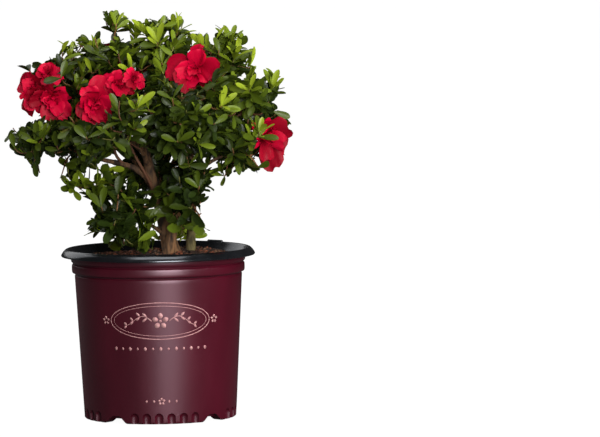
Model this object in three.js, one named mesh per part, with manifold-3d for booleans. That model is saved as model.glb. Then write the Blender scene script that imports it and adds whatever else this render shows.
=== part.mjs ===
// Potted azalea: an open evergreen shrub in red double flower, growing in a burgundy nursery pot.
// Millimetres, +Z up, front towards -Y. The origin is the middle of the pot's flat underside.
import * as THREE from 'three';
import { mergeVertices } from 'three/addons/utils/BufferGeometryUtils.js';
import Module from 'manifold-3d';

const wasm = await Module();
wasm.setup();

// Pot
const WALL = 1.8;
const FLOOR_UNDER = 5;
const FLOOR_TOP = 7.2;
const PAD_RADIUS = 15;
const FOOT_RADIUS = 79.7;
const FOOT_INNER = 68;
const FOOT_CORNER = 5;
const WALL_TOP = 151;
const WALL_TOP_RADIUS = 87.6;
const COLLAR_TOP = 163.5;
const COLLAR_RADIUS = 90.5;
const RIM_BAND_RADIUS = 94.3;
const LIP_UNDER = 169.3;
const LIP_RADIUS = 101.5;
const POT_HEIGHT = 177;
const CREST_RADIUS = 96;
const POT_SIDES = 28;
const NOTCH_HEIGHT = 8;
const NOTCH_ANGLE = 20;
const FRONT_FOOT_TURN = 5;
const FRONT_FOOT_HALF = 40;
const TAB_TURN = 142;
const TAB = { wide: 19, thick: 2.4, bottom: 172, top: 180.5, radius: 95.4 };

// Soil
const SOIL_TOP = 165;
const SEAT = 0.3;

// Limbs
const LIMB_SIDES = 6;
const LIMB_STEPS = 6;
const LIMB_GAP = 0.35;

// Foliage
const LEAF_LENGTH = 31;
const LEAF_WIDTH = 14;
const BLADE_BELLY = 0.58;
const BLADE_RISE = 0.2;
const LEAVES_IN_WHORL = 5;
const LEAF_SPACING = 2.3;
const LEAF_ROOM = 5.5;
const SMOOTHING = 0.06;
const TWIG_RADIUS = 1.15;
const TWIG_STEPS = 2;
const STEM_STEPS = 3;
const SPACE_MARGIN = 0.2;
const LIMB_CLEARANCE = 0.6;
const TIP_INSET = 10;
const GOLDEN_ANGLE = Math.PI * (3 - Math.sqrt(5));
const UP = new THREE.Vector3(0, 0, 1);

// Colours
const BURGUNDY = 0x4b1822;
const DARK_SOIL = 0x2a1d15;
const BARK = 0x5a3e2c;
const OLIVE_BARK = 0x5f5634;
const LEAF_GREEN = 0x3c5a1c;

const vec = (point) => new THREE.Vector3(...point);

// Small seeded random number generator, from 0 up to 1.
function seededRandom(seed) {
  let state = seed >>> 0;
  return () => {
    state = (state + 0x6d2b79f5) >>> 0;
    let mixed = Math.imul(state ^ (state >>> 15), state | 1);
    mixed = (mixed + Math.imul(mixed ^ (mixed >>> 7), mixed | 61)) ^ mixed;
    return ((mixed ^ (mixed >>> 14)) >>> 0) / 4294967296;
  };
}

// Turns a closed geometry into a solid, with shared corners merged and faces pointing out.
function solidFrom(geometry) {
  const plain = geometry.clone();
  plain.deleteAttribute('normal');
  plain.deleteAttribute('uv');
  const merged = mergeVertices(plain, 1e-4);
  const at = merged.attributes.position;
  const corners = [];
  for (let i = 0; i < merged.index.count; i += 3) {
    const [a, b, c] = [0, 1, 2].map((k) => merged.index.getX(i + k));
    if (a !== b && b !== c && c !== a) corners.push(a, b, c);
  }
  const point = (i) => new THREE.Vector3().fromBufferAttribute(at, i);
  let volume = 0;
  for (let i = 0; i < corners.length; i += 3) {
    volume += point(corners[i]).dot(point(corners[i + 1]).cross(point(corners[i + 2])));
  }
  if (volume < 0) corners.reverse();
  return new wasm.Manifold(new wasm.Mesh({
    numProp: 3,
    vertProperties: new Float32Array(at.array),
    triVerts: new Uint32Array(corners),
  }));
}

// Joins solids and keeps the one connected body, with any sealed pocket filled and scraps dropped.
function joined(solids) {
  const union = wasm.Manifold.union(solids).asOriginal().simplify(SMOOTHING);
  return union.decompose().reduce((best, next) => (next.volume() > best.volume() ? next : best));
}

function meshOf(name, solid, color, roughness) {
  const { vertProperties, triVerts } = solid.getMesh();
  const geometry = new THREE.BufferGeometry();
  geometry.setAttribute('position', new THREE.BufferAttribute(new Float32Array(vertProperties), 3));
  geometry.setIndex(new THREE.BufferAttribute(new Uint32Array(triVerts), 1));
  geometry.computeVertexNormals();
  const material = new THREE.MeshStandardMaterial({ color, roughness, metalness: 0 });
  const mesh = new THREE.Mesh(geometry, material);
  mesh.name = name;
  return mesh;
}

function lathe(profile) {
  const points = profile.map(([radius, height]) => new THREE.Vector2(radius, height));
  return solidFrom(new THREE.LatheGeometry(points, POT_SIDES).rotateX(Math.PI / 2));
}

// Angles round the pot are counted in degrees from the front, towards the right.
function footCorner() {
  const steps = 2;
  return Array.from({ length: steps + 1 }, (_, i) => {
    const angle = (i / steps) * (Math.PI / 2);
    const radius = FOOT_RADIUS - FOOT_CORNER * (1 - Math.sin(angle));
    return [radius, FOOT_CORNER * (1 - Math.cos(angle))];
  });
}

function potShell() {
  const outside = [
    [0, 0],
    [PAD_RADIUS, 0],
    [PAD_RADIUS + 2, FLOOR_UNDER],
    [FOOT_INNER - 2, FLOOR_UNDER],
    [FOOT_INNER, 0],
    ...footCorner(),
    [WALL_TOP_RADIUS, WALL_TOP],
    [WALL_TOP_RADIUS - 1, WALL_TOP + 2],
    [COLLAR_RADIUS - 0.6, WALL_TOP + 3.5],
    [COLLAR_RADIUS, WALL_TOP + 7],
    [COLLAR_RADIUS - 0.6, COLLAR_TOP - 2],
    [COLLAR_RADIUS - 2, COLLAR_TOP],
    [RIM_BAND_RADIUS - 0.6, COLLAR_TOP + 1.5],
    [RIM_BAND_RADIUS, LIP_UNDER],
    [LIP_RADIUS - 1, LIP_UNDER],
    [LIP_RADIUS, LIP_UNDER + 1.4],
    [LIP_RADIUS - 1.5, LIP_UNDER + 4.4],
    [CREST_RADIUS + 1.6, POT_HEIGHT - 0.4],
    [CREST_RADIUS, POT_HEIGHT],
  ];
  const inside = [
    [CREST_RADIUS - 2.2, POT_HEIGHT - 1.2],
    [RIM_BAND_RADIUS - WALL, COLLAR_TOP + 3],
    [COLLAR_RADIUS - 2 - WALL, COLLAR_TOP + 0.5],
    [COLLAR_RADIUS - 2 - WALL, WALL_TOP + 2],
    [WALL_TOP_RADIUS - WALL, WALL_TOP],
    [FOOT_RADIUS - WALL, FLOOR_TOP + 5],
    [FOOT_RADIUS - WALL - 5, FLOOR_TOP],
    [0, FLOOR_TOP],
  ];
  return lathe([...outside, ...inside]);
}

// A block with leaning sides, wider at its foot, for cutting between two feet.
function notchBlock(degrees, height, innerRadius) {
  const half = THREE.MathUtils.degToRad(NOTCH_ANGLE / 2) * FOOT_RADIUS;
  const outline = new THREE.Shape([
    new THREE.Vector2(-half, -1),
    new THREE.Vector2(half, -1),
    new THREE.Vector2(half * 0.5, height),
    new THREE.Vector2(-half * 0.5, height),
  ]);
  const depth = FOOT_RADIUS + 6 - innerRadius;
  const block = new THREE.ExtrudeGeometry(outline, { depth, bevelEnabled: false });
  block.rotateX(Math.PI / 2).translate(0, -innerRadius, 0);
  return solidFrom(block.rotateZ(THREE.MathUtils.degToRad(degrees)));
}

// Between two feet a channel runs in under the floor, and a drain slot opens the pot's corner.
function cutBetweenFeet(shell, degrees) {
  const channel = notchBlock(degrees, FLOOR_UNDER, FOOT_INNER - 3);
  const slot = notchBlock(degrees, NOTCH_HEIGHT, FOOT_RADIUS - WALL - 3.5);
  return shell.subtract(channel).subtract(slot);
}

function labelTab() {
  const box = new THREE.BoxGeometry(TAB.wide, TAB.thick, TAB.top - TAB.bottom);
  box.translate(0, -TAB.radius, (TAB.top + TAB.bottom) / 2);
  return solidFrom(box.rotateZ(THREE.MathUtils.degToRad(TAB_TURN)));
}

function pot() {
  const turns = [FRONT_FOOT_TURN, FRONT_FOOT_TURN + 180];
  const notches = turns.flatMap((turn) => [turn - FRONT_FOOT_HALF, turn + FRONT_FOOT_HALF]);
  const cut = notches.reduce(cutBetweenFeet, potShell());
  return meshOf('pot', joined([cut, labelTab()]), BURGUNDY, 0.38);
}

function soil() {
  const gap = SEAT + 0.2;
  const profile = [
    [0, FLOOR_TOP + SEAT],
    [FOOT_INNER, FLOOR_TOP + SEAT],
    [FOOT_RADIUS - WALL - gap, FLOOR_TOP + 9],
    [WALL_TOP_RADIUS - WALL - gap, WALL_TOP],
    [COLLAR_RADIUS - 2 - WALL - gap, WALL_TOP + 3],
    [COLLAR_RADIUS - 2 - WALL - gap, SOIL_TOP - 2],
    [COLLAR_RADIUS - 8, SOIL_TOP],
    [0, SOIL_TOP],
  ];
  return meshOf('soil', lathe(profile), DARK_SOIL, 0.95);
}

// Limbs: each follows a smooth path and tapers from its foot to its tip, both given as radii.
// Each is trimmed to the bark of those before it, where it leaves one or passes it.
const LIMBS = [
  { name: 'trunk', foot: 8.5, tip: 4.2, flare: 4.5, color: BARK,
    path: [[17, 6, 160], [9, 6, 194], [1, 5, 228], [-8, 2, 262], [-14, 2, 292]] },
  { name: 'stem_front', foot: 5.6, tip: 3.3, flare: 3, color: BARK,
    path: [[8, -4, 160], [14, -8, 188], [21, -8, 216], [28, -4, 248], [40, 2, 288]] },
  { name: 'stem_right', foot: 5.6, tip: 2.6, flare: 1.5, color: OLIVE_BARK,
    path: [[34, 8, 160], [35, 11, 196], [38, 20, 228], [44, 34, 262]] },
  { name: 'bough_far_left', foot: 3.4, tip: 1.9, flare: 1, color: BARK,
    path: [[-5, 3, 246], [-24, -4, 262], [-52, -9, 270], [-80, -9, 276]] },
  { name: 'bough_upper_left', foot: 3.6, tip: 1.9, flare: 1, color: BARK,
    path: [[-11, 2, 276], [-34, 6, 297], [-56, 8, 312], [-74, 8, 326]] },
  { name: 'bough_top_left', foot: 3.6, tip: 1.9, flare: 0, color: BARK,
    path: [[-14, 2, 288], [-22, 5, 312], [-33, 8, 335], [-39, 10, 356]] },
  { name: 'bough_top', foot: 3.3, tip: 1.9, flare: 0.5, color: BARK,
    path: [[-12, 1, 284], [-4, -2, 308], [2, -1, 332], [5, 2, 356]] },
  { name: 'bough_top_right', foot: 3.3, tip: 1.9, flare: 0, color: BARK,
    path: [[39, 2, 284], [46, 1, 306], [53, 3, 326], [58, 6, 346]] },
  { name: 'bough_right', foot: 3.2, tip: 1.8, flare: 0.8, color: BARK,
    path: [[36, 0, 276], [54, 6, 292], [72, 10, 304], [86, 12, 314]] },
  { name: 'bough_low_right', foot: 3.1, tip: 1.8, flare: 0.8, color: BARK,
    path: [[27, -4, 244], [42, -9, 258], [58, -11, 268], [74, -9, 276]] },
  { name: 'bough_front_left', foot: 3.2, tip: 1.8, flare: 0.8, color: BARK,
    path: [[-8, 2, 264], [-16, -22, 282], [-28, -42, 298], [-38, -56, 310]] },
  { name: 'bough_front_right', foot: 3.2, tip: 1.8, flare: 0.8, color: BARK,
    path: [[30, -3, 256], [29, -24, 276], [28, -44, 292], [28, -60, 304]] },
  { name: 'bough_back_left', foot: 3.4, tip: 1.8, flare: 0.8, color: BARK,
    path: [[2, 5, 226], [-14, 28, 252], [-32, 48, 276], [-48, 62, 298]] },
  { name: 'bough_back_right', foot: 2.6, tip: 1.8, flare: 0, color: OLIVE_BARK,
    path: [[43, 33, 258], [48, 46, 278], [52, 58, 296], [54, 68, 312]] },
  { name: 'bough_back', foot: 3.0, tip: 1.8, flare: 0.6, color: BARK,
    path: [[5, 6, 212], [6, 24, 226], [4, 42, 238], [2, 56, 250]] },
  { name: 'shoot_low_left', foot: 2.3, tip: 1.5, flare: 0.5, color: BARK,
    path: [[7, 4, 190], [-3, -6, 199], [-13, -13, 206], [-23, -18, 212]] },
  { name: 'shoot_low_right', foot: 2.2, tip: 1.5, flare: 0.5, color: OLIVE_BARK,
    path: [[35, 10, 192], [36, 0, 204], [35, -8, 214], [34, -14, 224]] },
];

const limbCurve = (limb) => new THREE.CatmullRomCurve3(limb.path.map(vec));

function limbRadius(limb, t) {
  return THREE.MathUtils.lerp(limb.foot, limb.tip, t) + limb.flare * Math.exp(-9 * t);
}

// Wraps a unit cylinder round a curve, with a radius for each place along it.
function wrapAlong(curve, radiusAt, sides, steps) {
  const geometry = new THREE.CylinderGeometry(1, 1, 1, sides, steps);
  const { normals, binormals } = curve.computeFrenetFrames(steps, false);
  const at = geometry.attributes.position;
  for (let i = 0; i < at.count; i += 1) {
    const t = at.getY(i) + 0.5;
    const step = Math.round(t * steps);
    const radius = radiusAt(t);
    const place = curve.getPointAt(t)
      .addScaledVector(normals[step], at.getX(i) * radius)
      .addScaledVector(binormals[step], at.getZ(i) * radius);
    at.setXYZ(i, place.x, place.y, place.z);
  }
  return geometry;
}

function limbSolid(limb, extra = 0) {
  const radiusAt = (t) => limbRadius(limb, t) + extra;
  return solidFrom(wrapAlong(limbCurve(limb), radiusAt, LIMB_SIDES, LIMB_STEPS));
}

function belowSoil() {
  const box = new THREE.BoxGeometry(400, 400, 100);
  return solidFrom(box.translate(0, 0, SOIL_TOP + SEAT - 50));
}

const limbNamed = (name) => LIMBS.find((limb) => limb.name === name);

function limbMesh(limb, place) {
  let solid = limbSolid(limb).subtract(belowSoil());
  for (const earlier of LIMBS.slice(0, place)) {
    solid = solid.subtract(limbSolid(earlier, LIMB_GAP));
  }
  return meshOf(limb.name, joined([solid]), limb.color, 0.85);
}

// Foliage masses: the space of each is an egg round its heart. Leaders are the shoots that shape
// the crown's outline, and blooms are its flowers, each with its place, facing and width.
const MASSES = [
  { name: 'foliage_far_left', on: 'bough_far_left', seed: 717, shoots: 7,
    heart: [-106, -6, 284], reach: [59, 52, 45],
    leaders: [[-136, -4, 290], [-104, -10, 262], [-86, -12, 250], [-124, -8, 308]], blooms: [] },
  { name: 'foliage_upper_left', on: 'bough_upper_left', seed: 9317, shoots: 7,
    heart: [-98, 6, 348], reach: [54, 56, 49],
    leaders: [[-88, 6, 383], [-128, 16, 362], [-112, 6, 322]],
    blooms: [
      { at: [-130, -6, 353], facing: [-0.55, -0.8, 0.2], wide: 48 },
      { at: [-106, -26, 338], facing: [0.05, -0.95, -0.1], wide: 38 },
    ] },
  { name: 'foliage_top_left', on: 'bough_top_left', seed: 9018, shoots: 8,
    heart: [-43, 8, 377], reach: [44, 57, 61],
    leaders: [[-45, 0, 412], [-62, 6, 384], [-28, 12, 402], [-52, 2, 396]],
    blooms: [{ at: [-46, 50, 398], facing: [-0.1, 0.7, 0.7], wide: 42 }] },
  { name: 'foliage_top', on: 'bough_top', seed: 1619, shoots: 9,
    heart: [8, 4, 373], reach: [41, 58, 58],
    leaders: [[-10, 2, 402], [6, -4, 394], [20, 2, 403], [8, -30, 372]],
    blooms: [{ at: [8, 64, 392], facing: [0.2, 0.75, 0.6], wide: 46 }] },
  { name: 'foliage_top_right', on: 'bough_top_right', seed: 5418, shoots: 8,
    heart: [62, 8, 361], reach: [44, 56, 50],
    leaders: [[74, 2, 388], [60, 8, 392], [90, 0, 372], [44, 0, 384]],
    blooms: [] },
  { name: 'foliage_right', on: 'bough_right', seed: 9517, shoots: 7,
    heart: [100, 14, 326], reach: [46, 57, 42],
    leaders: [[121, 2, 341], [112, 0, 318], [96, 4, 350], [128, 30, 326]],
    blooms: [{ at: [124, 44, 334], facing: [0.8, 0.5, 0.3], wide: 40 }] },
  { name: 'foliage_low_right', on: 'bough_low_right', seed: 6517, shoots: 7,
    heart: [92, -6, 283], reach: [54, 54, 37],
    leaders: [[98, -4, 268], [78, -8, 260], [118, 10, 280]],
    blooms: [{ at: [120, -14, 294], facing: [0.45, -0.88, -0.05], wide: 50 }] },
  { name: 'foliage_front_left', on: 'bough_front_left', seed: 4618, shoots: 8,
    heart: [-48, -64, 322], reach: [56, 54, 54],
    leaders: [[-76, -60, 300], [-24, -76, 300], [-30, -84, 336]],
    blooms: [
      { at: [-66, -58, 334], facing: [-0.1, -0.97, 0.1], wide: 42 },
      { at: [-37, -54, 358], facing: [0.15, -0.9, 0.35], wide: 30 },
    ] },
  { name: 'foliage_front_right', on: 'bough_front_right', seed: 2119, shoots: 8,
    heart: [34, -63, 328], reach: [56, 56, 65],
    leaders: [[66, -64, 344], [16, -84, 340], [52, -76, 290], [6, -76, 308]],
    blooms: [{ at: [38, -54, 374], facing: [-0.1, -0.92, 0.35], wide: 48 }] },
  { name: 'foliage_back_left', on: 'bough_back_left', seed: 5719, shoots: 8,
    heart: [-60, 72, 322], reach: [56, 56, 60],
    leaders: [[-96, 82, 300], [-40, 104, 310]],
    blooms: [{ at: [-66, 112, 330], facing: [-0.2, 0.95, 0.1], wide: 46 }] },
  { name: 'foliage_back_right', on: 'bough_back_right', seed: 1319, shoots: 9,
    heart: [58, 76, 322], reach: [54, 54, 60],
    leaders: [[92, 84, 304], [30, 104, 316]],
    blooms: [{ at: [50, 116, 338], facing: [0.15, 0.95, 0.2], wide: 46 }] },
  { name: 'foliage_back', on: 'bough_back', seed: 1116, shoots: 6,
    heart: [0, 72, 270], reach: [56, 50, 44], leaders: [[-30, 84, 250], [30, 88, 254]], blooms: [] },
  { name: 'foliage_low_left', on: 'shoot_low_left', seed: 2815, shoots: 5,
    heart: [-46, -27, 222], reach: [40, 42, 34],
    leaders: [[-24, -30, 226], [-58, -26, 206], [-50, -30, 234]], blooms: [] },
  { name: 'foliage_low_right_inner', on: 'shoot_low_right', seed: 4516, shoots: 6,
    heart: [38, -20, 238], reach: [38, 42, 36],
    leaders: [[46, -20, 214], [52, -20, 236], [24, -30, 246]], blooms: [] },
];

for (const mass of MASSES) {
  mass.centre = vec(mass.heart);
  mass.weight = (mass.reach.reduce((sum, r) => sum + r, 0) / 3) ** 2;
}

// How far a point lies on a mass's own side of the planes that part it from the other masses.
function depthFromOthers(mass, point) {
  const own = point.distanceToSquared(mass.centre) - mass.weight;
  const depths = MASSES.filter((other) => other !== mass).map((other) => {
    const theirs = point.distanceToSquared(other.centre) - other.weight;
    return (theirs - own) / (2 * mass.centre.distanceTo(other.centre));
  });
  return Math.min(...depths);
}

// How far a point lies inside a mass's own space: its egg, cut by those planes.
function depthInSpace(mass, point) {
  const [rx, ry, rz] = mass.reach;
  const offset = point.clone().sub(mass.centre);
  const eggShare = Math.hypot(offset.x / rx, offset.y / ry, offset.z / rz);
  return Math.min((1 - eggShare) * Math.min(rx, ry, rz), depthFromOthers(mass, point));
}

// Straight stretches of every limb, each with its thicker radius, for keeping twigs and leaves off.
const BARK_STRETCHES = LIMBS.flatMap((limb) => {
  const points = limbCurve(limb).getSpacedPoints(LIMB_STEPS);
  return points.slice(1).map((end, i) => ({
    line: new THREE.Line3(points[i], end),
    radius: limbRadius(limb, i / LIMB_STEPS),
  }));
});

function distanceToBark(point) {
  const nearest = new THREE.Vector3();
  return BARK_STRETCHES.reduce((least, { line, radius }) => {
    line.closestPointToPoint(point, true, nearest);
    return Math.min(least, point.distanceTo(nearest) - radius);
  }, Infinity);
}

const isClear = (mass, point, width) => depthInSpace(mass, point) > width + SPACE_MARGIN
  && distanceToBark(point) > width + LIMB_CLEARANCE;

// A leaf or petal is a thin arched blade of four corners, widest past the middle. Heading points
// from root to tip, and face is the side that its upper surface looks to.
function bladePoints({ root, heading, face, length, width }) {
  const side = heading.clone().cross(face).normalize();
  const top = side.clone().cross(heading).normalize();
  const at = (across, along, above) => root.clone()
    .addScaledVector(side, across * width / 2)
    .addScaledVector(heading, along * length)
    .addScaledVector(top, above * width);
  return [at(0, 0, 0), at(-1, BLADE_BELLY, BLADE_RISE), at(1, BLADE_BELLY, BLADE_RISE), at(0, 1, 0)];
}

function bladeSolid(blade) {
  const corners = bladePoints(blade);
  const geometry = new THREE.TetrahedronGeometry(1, 0);
  const at = geometry.attributes.position;
  for (let i = 0; i < at.count; i += 1) {
    const corner = corners[(at.getX(i) > 0 ? 2 : 0) + (at.getY(i) > 0 ? 1 : 0)];
    at.setXYZ(i, corner.x, corner.y, corner.z);
  }
  return solidFrom(geometry);
}

// A blade stays if its corners are deep enough in the mass's space and its midrib is clear of limbs.
function bladeFits(mass, blade, depthOf = depthInSpace) {
  const [, ...outer] = bladePoints(blade);
  if (outer.some((corner) => depthOf(mass, corner) < SPACE_MARGIN)) return false;
  const checks = 6;
  for (let i = 1; i <= checks; i += 1) {
    const along = i / checks;
    const narrow = along < BLADE_BELLY ? along / BLADE_BELLY : (1 - along) / (1 - BLADE_BELLY);
    const point = blade.root.clone().addScaledVector(blade.heading, along * blade.length);
    if (distanceToBark(point) < narrow * blade.width / 2 + LIMB_CLEARANCE) return false;
  }
  return true;
}

// Two directions square to the axis, and to each other.
function crossDirections(axis) {
  const helper = Math.abs(axis.z) < 0.9 ? UP : new THREE.Vector3(1, 0, 0);
  const across = new THREE.Vector3().crossVectors(axis, helper).normalize();
  return [across, new THREE.Vector3().crossVectors(axis, across)];
}

// A heading that leans out from the axis by the tilt, at a turn round it.
function leaning(axis, turn, tilt) {
  const [across, over] = crossDirections(axis);
  return axis.clone().multiplyScalar(Math.cos(tilt))
    .addScaledVector(across, Math.sin(tilt) * Math.cos(turn))
    .addScaledVector(over, Math.sin(tilt) * Math.sin(turn));
}

function bloomFoot({ at, facing, wide }) {
  return vec(at).addScaledVector(vec(facing).normalize(), -0.3 * wide);
}

// Shoot tips: the mass's blooms and leaders, then fillers spread evenly round its egg.
function shootTips(mass, random) {
  const tips = mass.blooms.map((bloom) => ({ place: bloomFoot(bloom), bloom }));
  mass.leaders.forEach((leader) => tips.push({ place: vec(leader) }));
  const phase = random() * 2 * Math.PI;
  for (let k = 0; k < mass.shoots; k += 1) {
    const height = 1 - (2 * k + 1) / mass.shoots;
    const flat = Math.sqrt(1 - height * height);
    const turn = phase + k * GOLDEN_ANGLE;
    const share = 0.6 + 0.25 * random();
    const place = new THREE.Vector3(flat * Math.cos(turn), flat * Math.sin(turn), height)
      .multiply(vec(mass.reach)).multiplyScalar(share).add(mass.centre);
    for (let pull = 0; pull < 6 && depthInSpace(mass, place) < TIP_INSET; pull += 1) {
      place.lerp(mass.centre, 0.15);
    }
    if (tips.every((tip) => tip.place.distanceTo(place) > 17)) tips.push({ place });
  }
  return tips;
}

// The twig that runs on from a joint to a shoot tip: it leaves along its parent and ends rising.
function twigCurve(mass, joint, tip) {
  const span = joint.place.distanceTo(tip.place);
  const outward = tip.place.clone().sub(mass.centre).normalize();
  const arrival = tip.bloom ? vec(tip.bloom.facing) : outward.multiplyScalar(0.7).addScaledVector(UP, 0.8);
  const start = joint.place.clone().addScaledVector(joint.heading, -0.6);
  return new THREE.CubicBezierCurve3(
    start,
    joint.place.clone().addScaledVector(joint.heading, 0.3 * span),
    tip.place.clone().addScaledVector(arrival.normalize(), -0.35 * span),
    tip.place,
  );
}

function twigIsClear(mass, curve) {
  const checks = Math.ceil(curve.getLength() / 2.5);
  for (let i = 1; i <= checks; i += 1) {
    if (!isClear(mass, curve.getPointAt(i / checks), TWIG_RADIUS)) return false;
  }
  return true;
}

// A place on a twig's straight stretches, from 0 at its foot to 1 at its tip, with its heading.
function along(twig, t) {
  const stretches = twig.points.length - 1;
  const step = Math.min(Math.floor(t * stretches), stretches - 1);
  const heading = twig.points[step + 1].clone().sub(twig.points[step]);
  const place = twig.points[step].clone().addScaledVector(heading, t * stretches - step);
  return { place, heading: heading.normalize() };
}

function twigFrom(curve, steps, base, end, tip) {
  return { curve, steps, base, end, tip, points: curve.getSpacedPoints(steps) };
}

// Twigs of a mass: a stem from its bough's tip to its heart, then one twig to each shoot tip, which
// leaves from the joint that lies nearest and most nearly behind it.
function growTwigs(mass) {
  const random = seededRandom(mass.seed);
  const limb = limbNamed(mass.on);
  const bough = limbCurve(limb);
  const heading = bough.getTangentAt(1);
  const foot = bough.getPointAt(1).addScaledVector(heading, SEAT);
  const reach = foot.distanceTo(mass.centre);
  const bend = foot.clone().addScaledVector(heading, 0.5 * reach);
  const stem = new THREE.QuadraticBezierCurve3(foot, bend, mass.centre.clone());
  const twigs = [twigFrom(stem, STEM_STEPS, limb.tip * 0.95, TWIG_RADIUS)];
  const joints = [0.3, 0.5, 0.7, 0.85, 0.97].map((t) => along(twigs[0], t));
  const tips = shootTips(mass, random);
  tips.sort((a, b) => a.place.distanceTo(foot) - b.place.distanceTo(foot));
  for (const tip of tips) {
    const cost = (joint) => {
      const way = tip.place.clone().sub(joint.place);
      return way.length() * (1.7 - way.normalize().dot(joint.heading));
    };
    const ranked = joints.slice().sort((a, b) => cost(a) - cost(b)).slice(0, 4);
    const curves = ranked.map((joint) => twigCurve(mass, joint, tip));
    const curve = curves.find((candidate) => twigIsClear(mass, candidate));
    if (!curve || curve.getLength() < 8) continue;
    const twig = twigFrom(curve, TWIG_STEPS, TWIG_RADIUS, TWIG_RADIUS * 0.75, tip);
    twigs.push(twig);
    joints.push(along(twig, 0.4), along(twig, 0.7));
  }
  return twigs;
}

// Leaves of one shoot: a whorl round its tip and a few lower down.
function shootLeaves(twig, random) {
  const leaves = [];
  const { place: tip, heading: axis } = along(twig, 1);
  const phase = random() * 2 * Math.PI;
  const add = (root, about, turn, tilt) => {
    const length = LEAF_LENGTH * (0.85 + 0.3 * random());
    const heading = leaning(about, turn, tilt);
    leaves.push({ root, heading, face: about, length, width: LEAF_WIDTH * length / LEAF_LENGTH });
  };
  for (let k = 0; k < LEAVES_IN_WHORL; k += 1) {
    const tilt = 0.75 + 0.45 * random();
    add(tip.clone().addScaledVector(axis, -1 - LEAF_SPACING * k), axis, phase + k * GOLDEN_ANGLE, tilt);
  }
  [0.5, 0.75].forEach((t, k) => {
    const { place, heading } = along(twig, t);
    add(place, heading, phase + 2 + k * Math.PI, 0.9 + 0.3 * random());
  });
  return leaves;
}

// A double flower: a small funnel with a wide ring of petals and a narrower one inside it.
function bloomSolids(mass, bloom) {
  const axis = vec(bloom.facing).normalize();
  const foot = bloomFoot(bloom);
  const funnel = new THREE.CylinderGeometry(0.06 * bloom.wide, 1, 0.24 * bloom.wide, 5);
  funnel.translate(0, 0.08 * bloom.wide, 0).applyQuaternion(
    new THREE.Quaternion().setFromUnitVectors(new THREE.Vector3(0, 1, 0), axis),
  ).translate(foot.x, foot.y, foot.z);
  const rings = [
    { petals: 5, tilt: 1.1, length: 0.56, width: 0.5, rise: 0.06 },
    { petals: 3, tilt: 0.5, length: 0.42, width: 0.4, rise: 0.12 },
  ];
  const petals = rings.flatMap(({ petals: count, tilt, length, width, rise }) => (
    Array.from({ length: count }, (_, k) => {
      const heading = leaning(axis, (k * 2 * Math.PI) / count + tilt, tilt);
      const root = foot.clone().addScaledVector(axis, rise * bloom.wide).addScaledVector(heading, 0.5);
      return { root, heading, face: axis, length: length * bloom.wide, width: width * bloom.wide };
    })
  ));
  const kept = petals.filter((petal) => bladeFits(mass, petal, depthFromOthers));
  return [solidFrom(funnel), ...kept.map(bladeSolid)];
}

function twigSolid({ curve, steps, base, end }) {
  return solidFrom(wrapAlong(curve, (t) => THREE.MathUtils.lerp(base, end, t), 3, steps));
}

// All leaves of a mass that fit its space and keep a little room from each other.
function growLeaves(mass, twigs) {
  const random = seededRandom(mass.seed + 500);
  const shoots = twigs.filter(({ tip }) => tip && !tip.bloom);
  const taken = [];
  return shoots.flatMap((twig) => shootLeaves(twig, random)).filter((leaf) => {
    const spots = [0.45, 0.72, 1].map((share) => (
      leaf.root.clone().addScaledVector(leaf.heading, share * leaf.length)
    ));
    const crowded = spots.some((spot) => taken.some((other) => spot.distanceTo(other) < LEAF_ROOM));
    if (crowded || !bladeFits(mass, leaf)) return false;
    taken.push(...spots);
    return true;
  });
}

function massMesh(mass) {
  const twigs = growTwigs(mass);
  const blooms = twigs.filter(({ tip }) => tip?.bloom);
  const solids = [
    ...twigs.map(twigSolid),
    ...growLeaves(mass, twigs).map(bladeSolid),
    ...blooms.flatMap(({ tip }) => bloomSolids(mass, tip.bloom)),
  ];
  return meshOf(mass.name, joined(solids), LEAF_GREEN, 0.55);
}

const group = new THREE.Group();
group.add(pot(), soil());
group.add(...LIMBS.map(limbMesh));
group.add(...MASSES.map(massMesh));

export default group;
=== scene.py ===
# %% [markdown]
# # Dressing a potted azalea
# An evergreen azalea is a small shrub: a few woody stems fork from one root, and every twig ends in
# a whorl of oval leaves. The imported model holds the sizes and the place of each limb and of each
# mass of foliage. This lesson keeps that frame and gives it its looks: pot, bark, twigs, leaves
# and flowers. Lengths are in millimetres, and MM turns them into Blender's metres.

# %% Load the frame
import math

import bpy
import numpy as np
from mathutils import Matrix, Vector


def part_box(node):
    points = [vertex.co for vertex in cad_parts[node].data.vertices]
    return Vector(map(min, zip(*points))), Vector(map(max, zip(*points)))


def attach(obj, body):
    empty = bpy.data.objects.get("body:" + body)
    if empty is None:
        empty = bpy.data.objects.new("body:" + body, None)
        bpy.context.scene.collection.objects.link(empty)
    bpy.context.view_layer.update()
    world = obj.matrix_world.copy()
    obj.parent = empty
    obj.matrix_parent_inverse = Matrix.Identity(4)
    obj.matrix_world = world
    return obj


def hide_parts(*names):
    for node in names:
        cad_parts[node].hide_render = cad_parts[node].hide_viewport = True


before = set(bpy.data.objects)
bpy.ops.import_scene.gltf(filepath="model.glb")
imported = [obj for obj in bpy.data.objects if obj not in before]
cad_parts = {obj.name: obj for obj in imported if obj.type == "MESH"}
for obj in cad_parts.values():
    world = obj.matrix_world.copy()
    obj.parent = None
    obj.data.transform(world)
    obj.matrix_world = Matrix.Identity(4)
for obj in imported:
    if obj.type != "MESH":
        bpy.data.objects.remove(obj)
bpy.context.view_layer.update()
MM = 0.001

# %% [markdown]
# Operators act on whatever is selected, and loading leaves the frame's nodes selected. So each step
# starts from an empty selection. A finished piece sits at the origin with its place in its mesh,
# takes its material, and rides on the plant's one body.


# %% Small helpers for selecting and finishing
def deselect_all():
    bpy.ops.object.select_all(action="DESELECT")


def select_only(*objects):
    deselect_all()
    for one in objects:
        one.select_set(True)
    bpy.context.view_layer.objects.active = objects[0]


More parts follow.
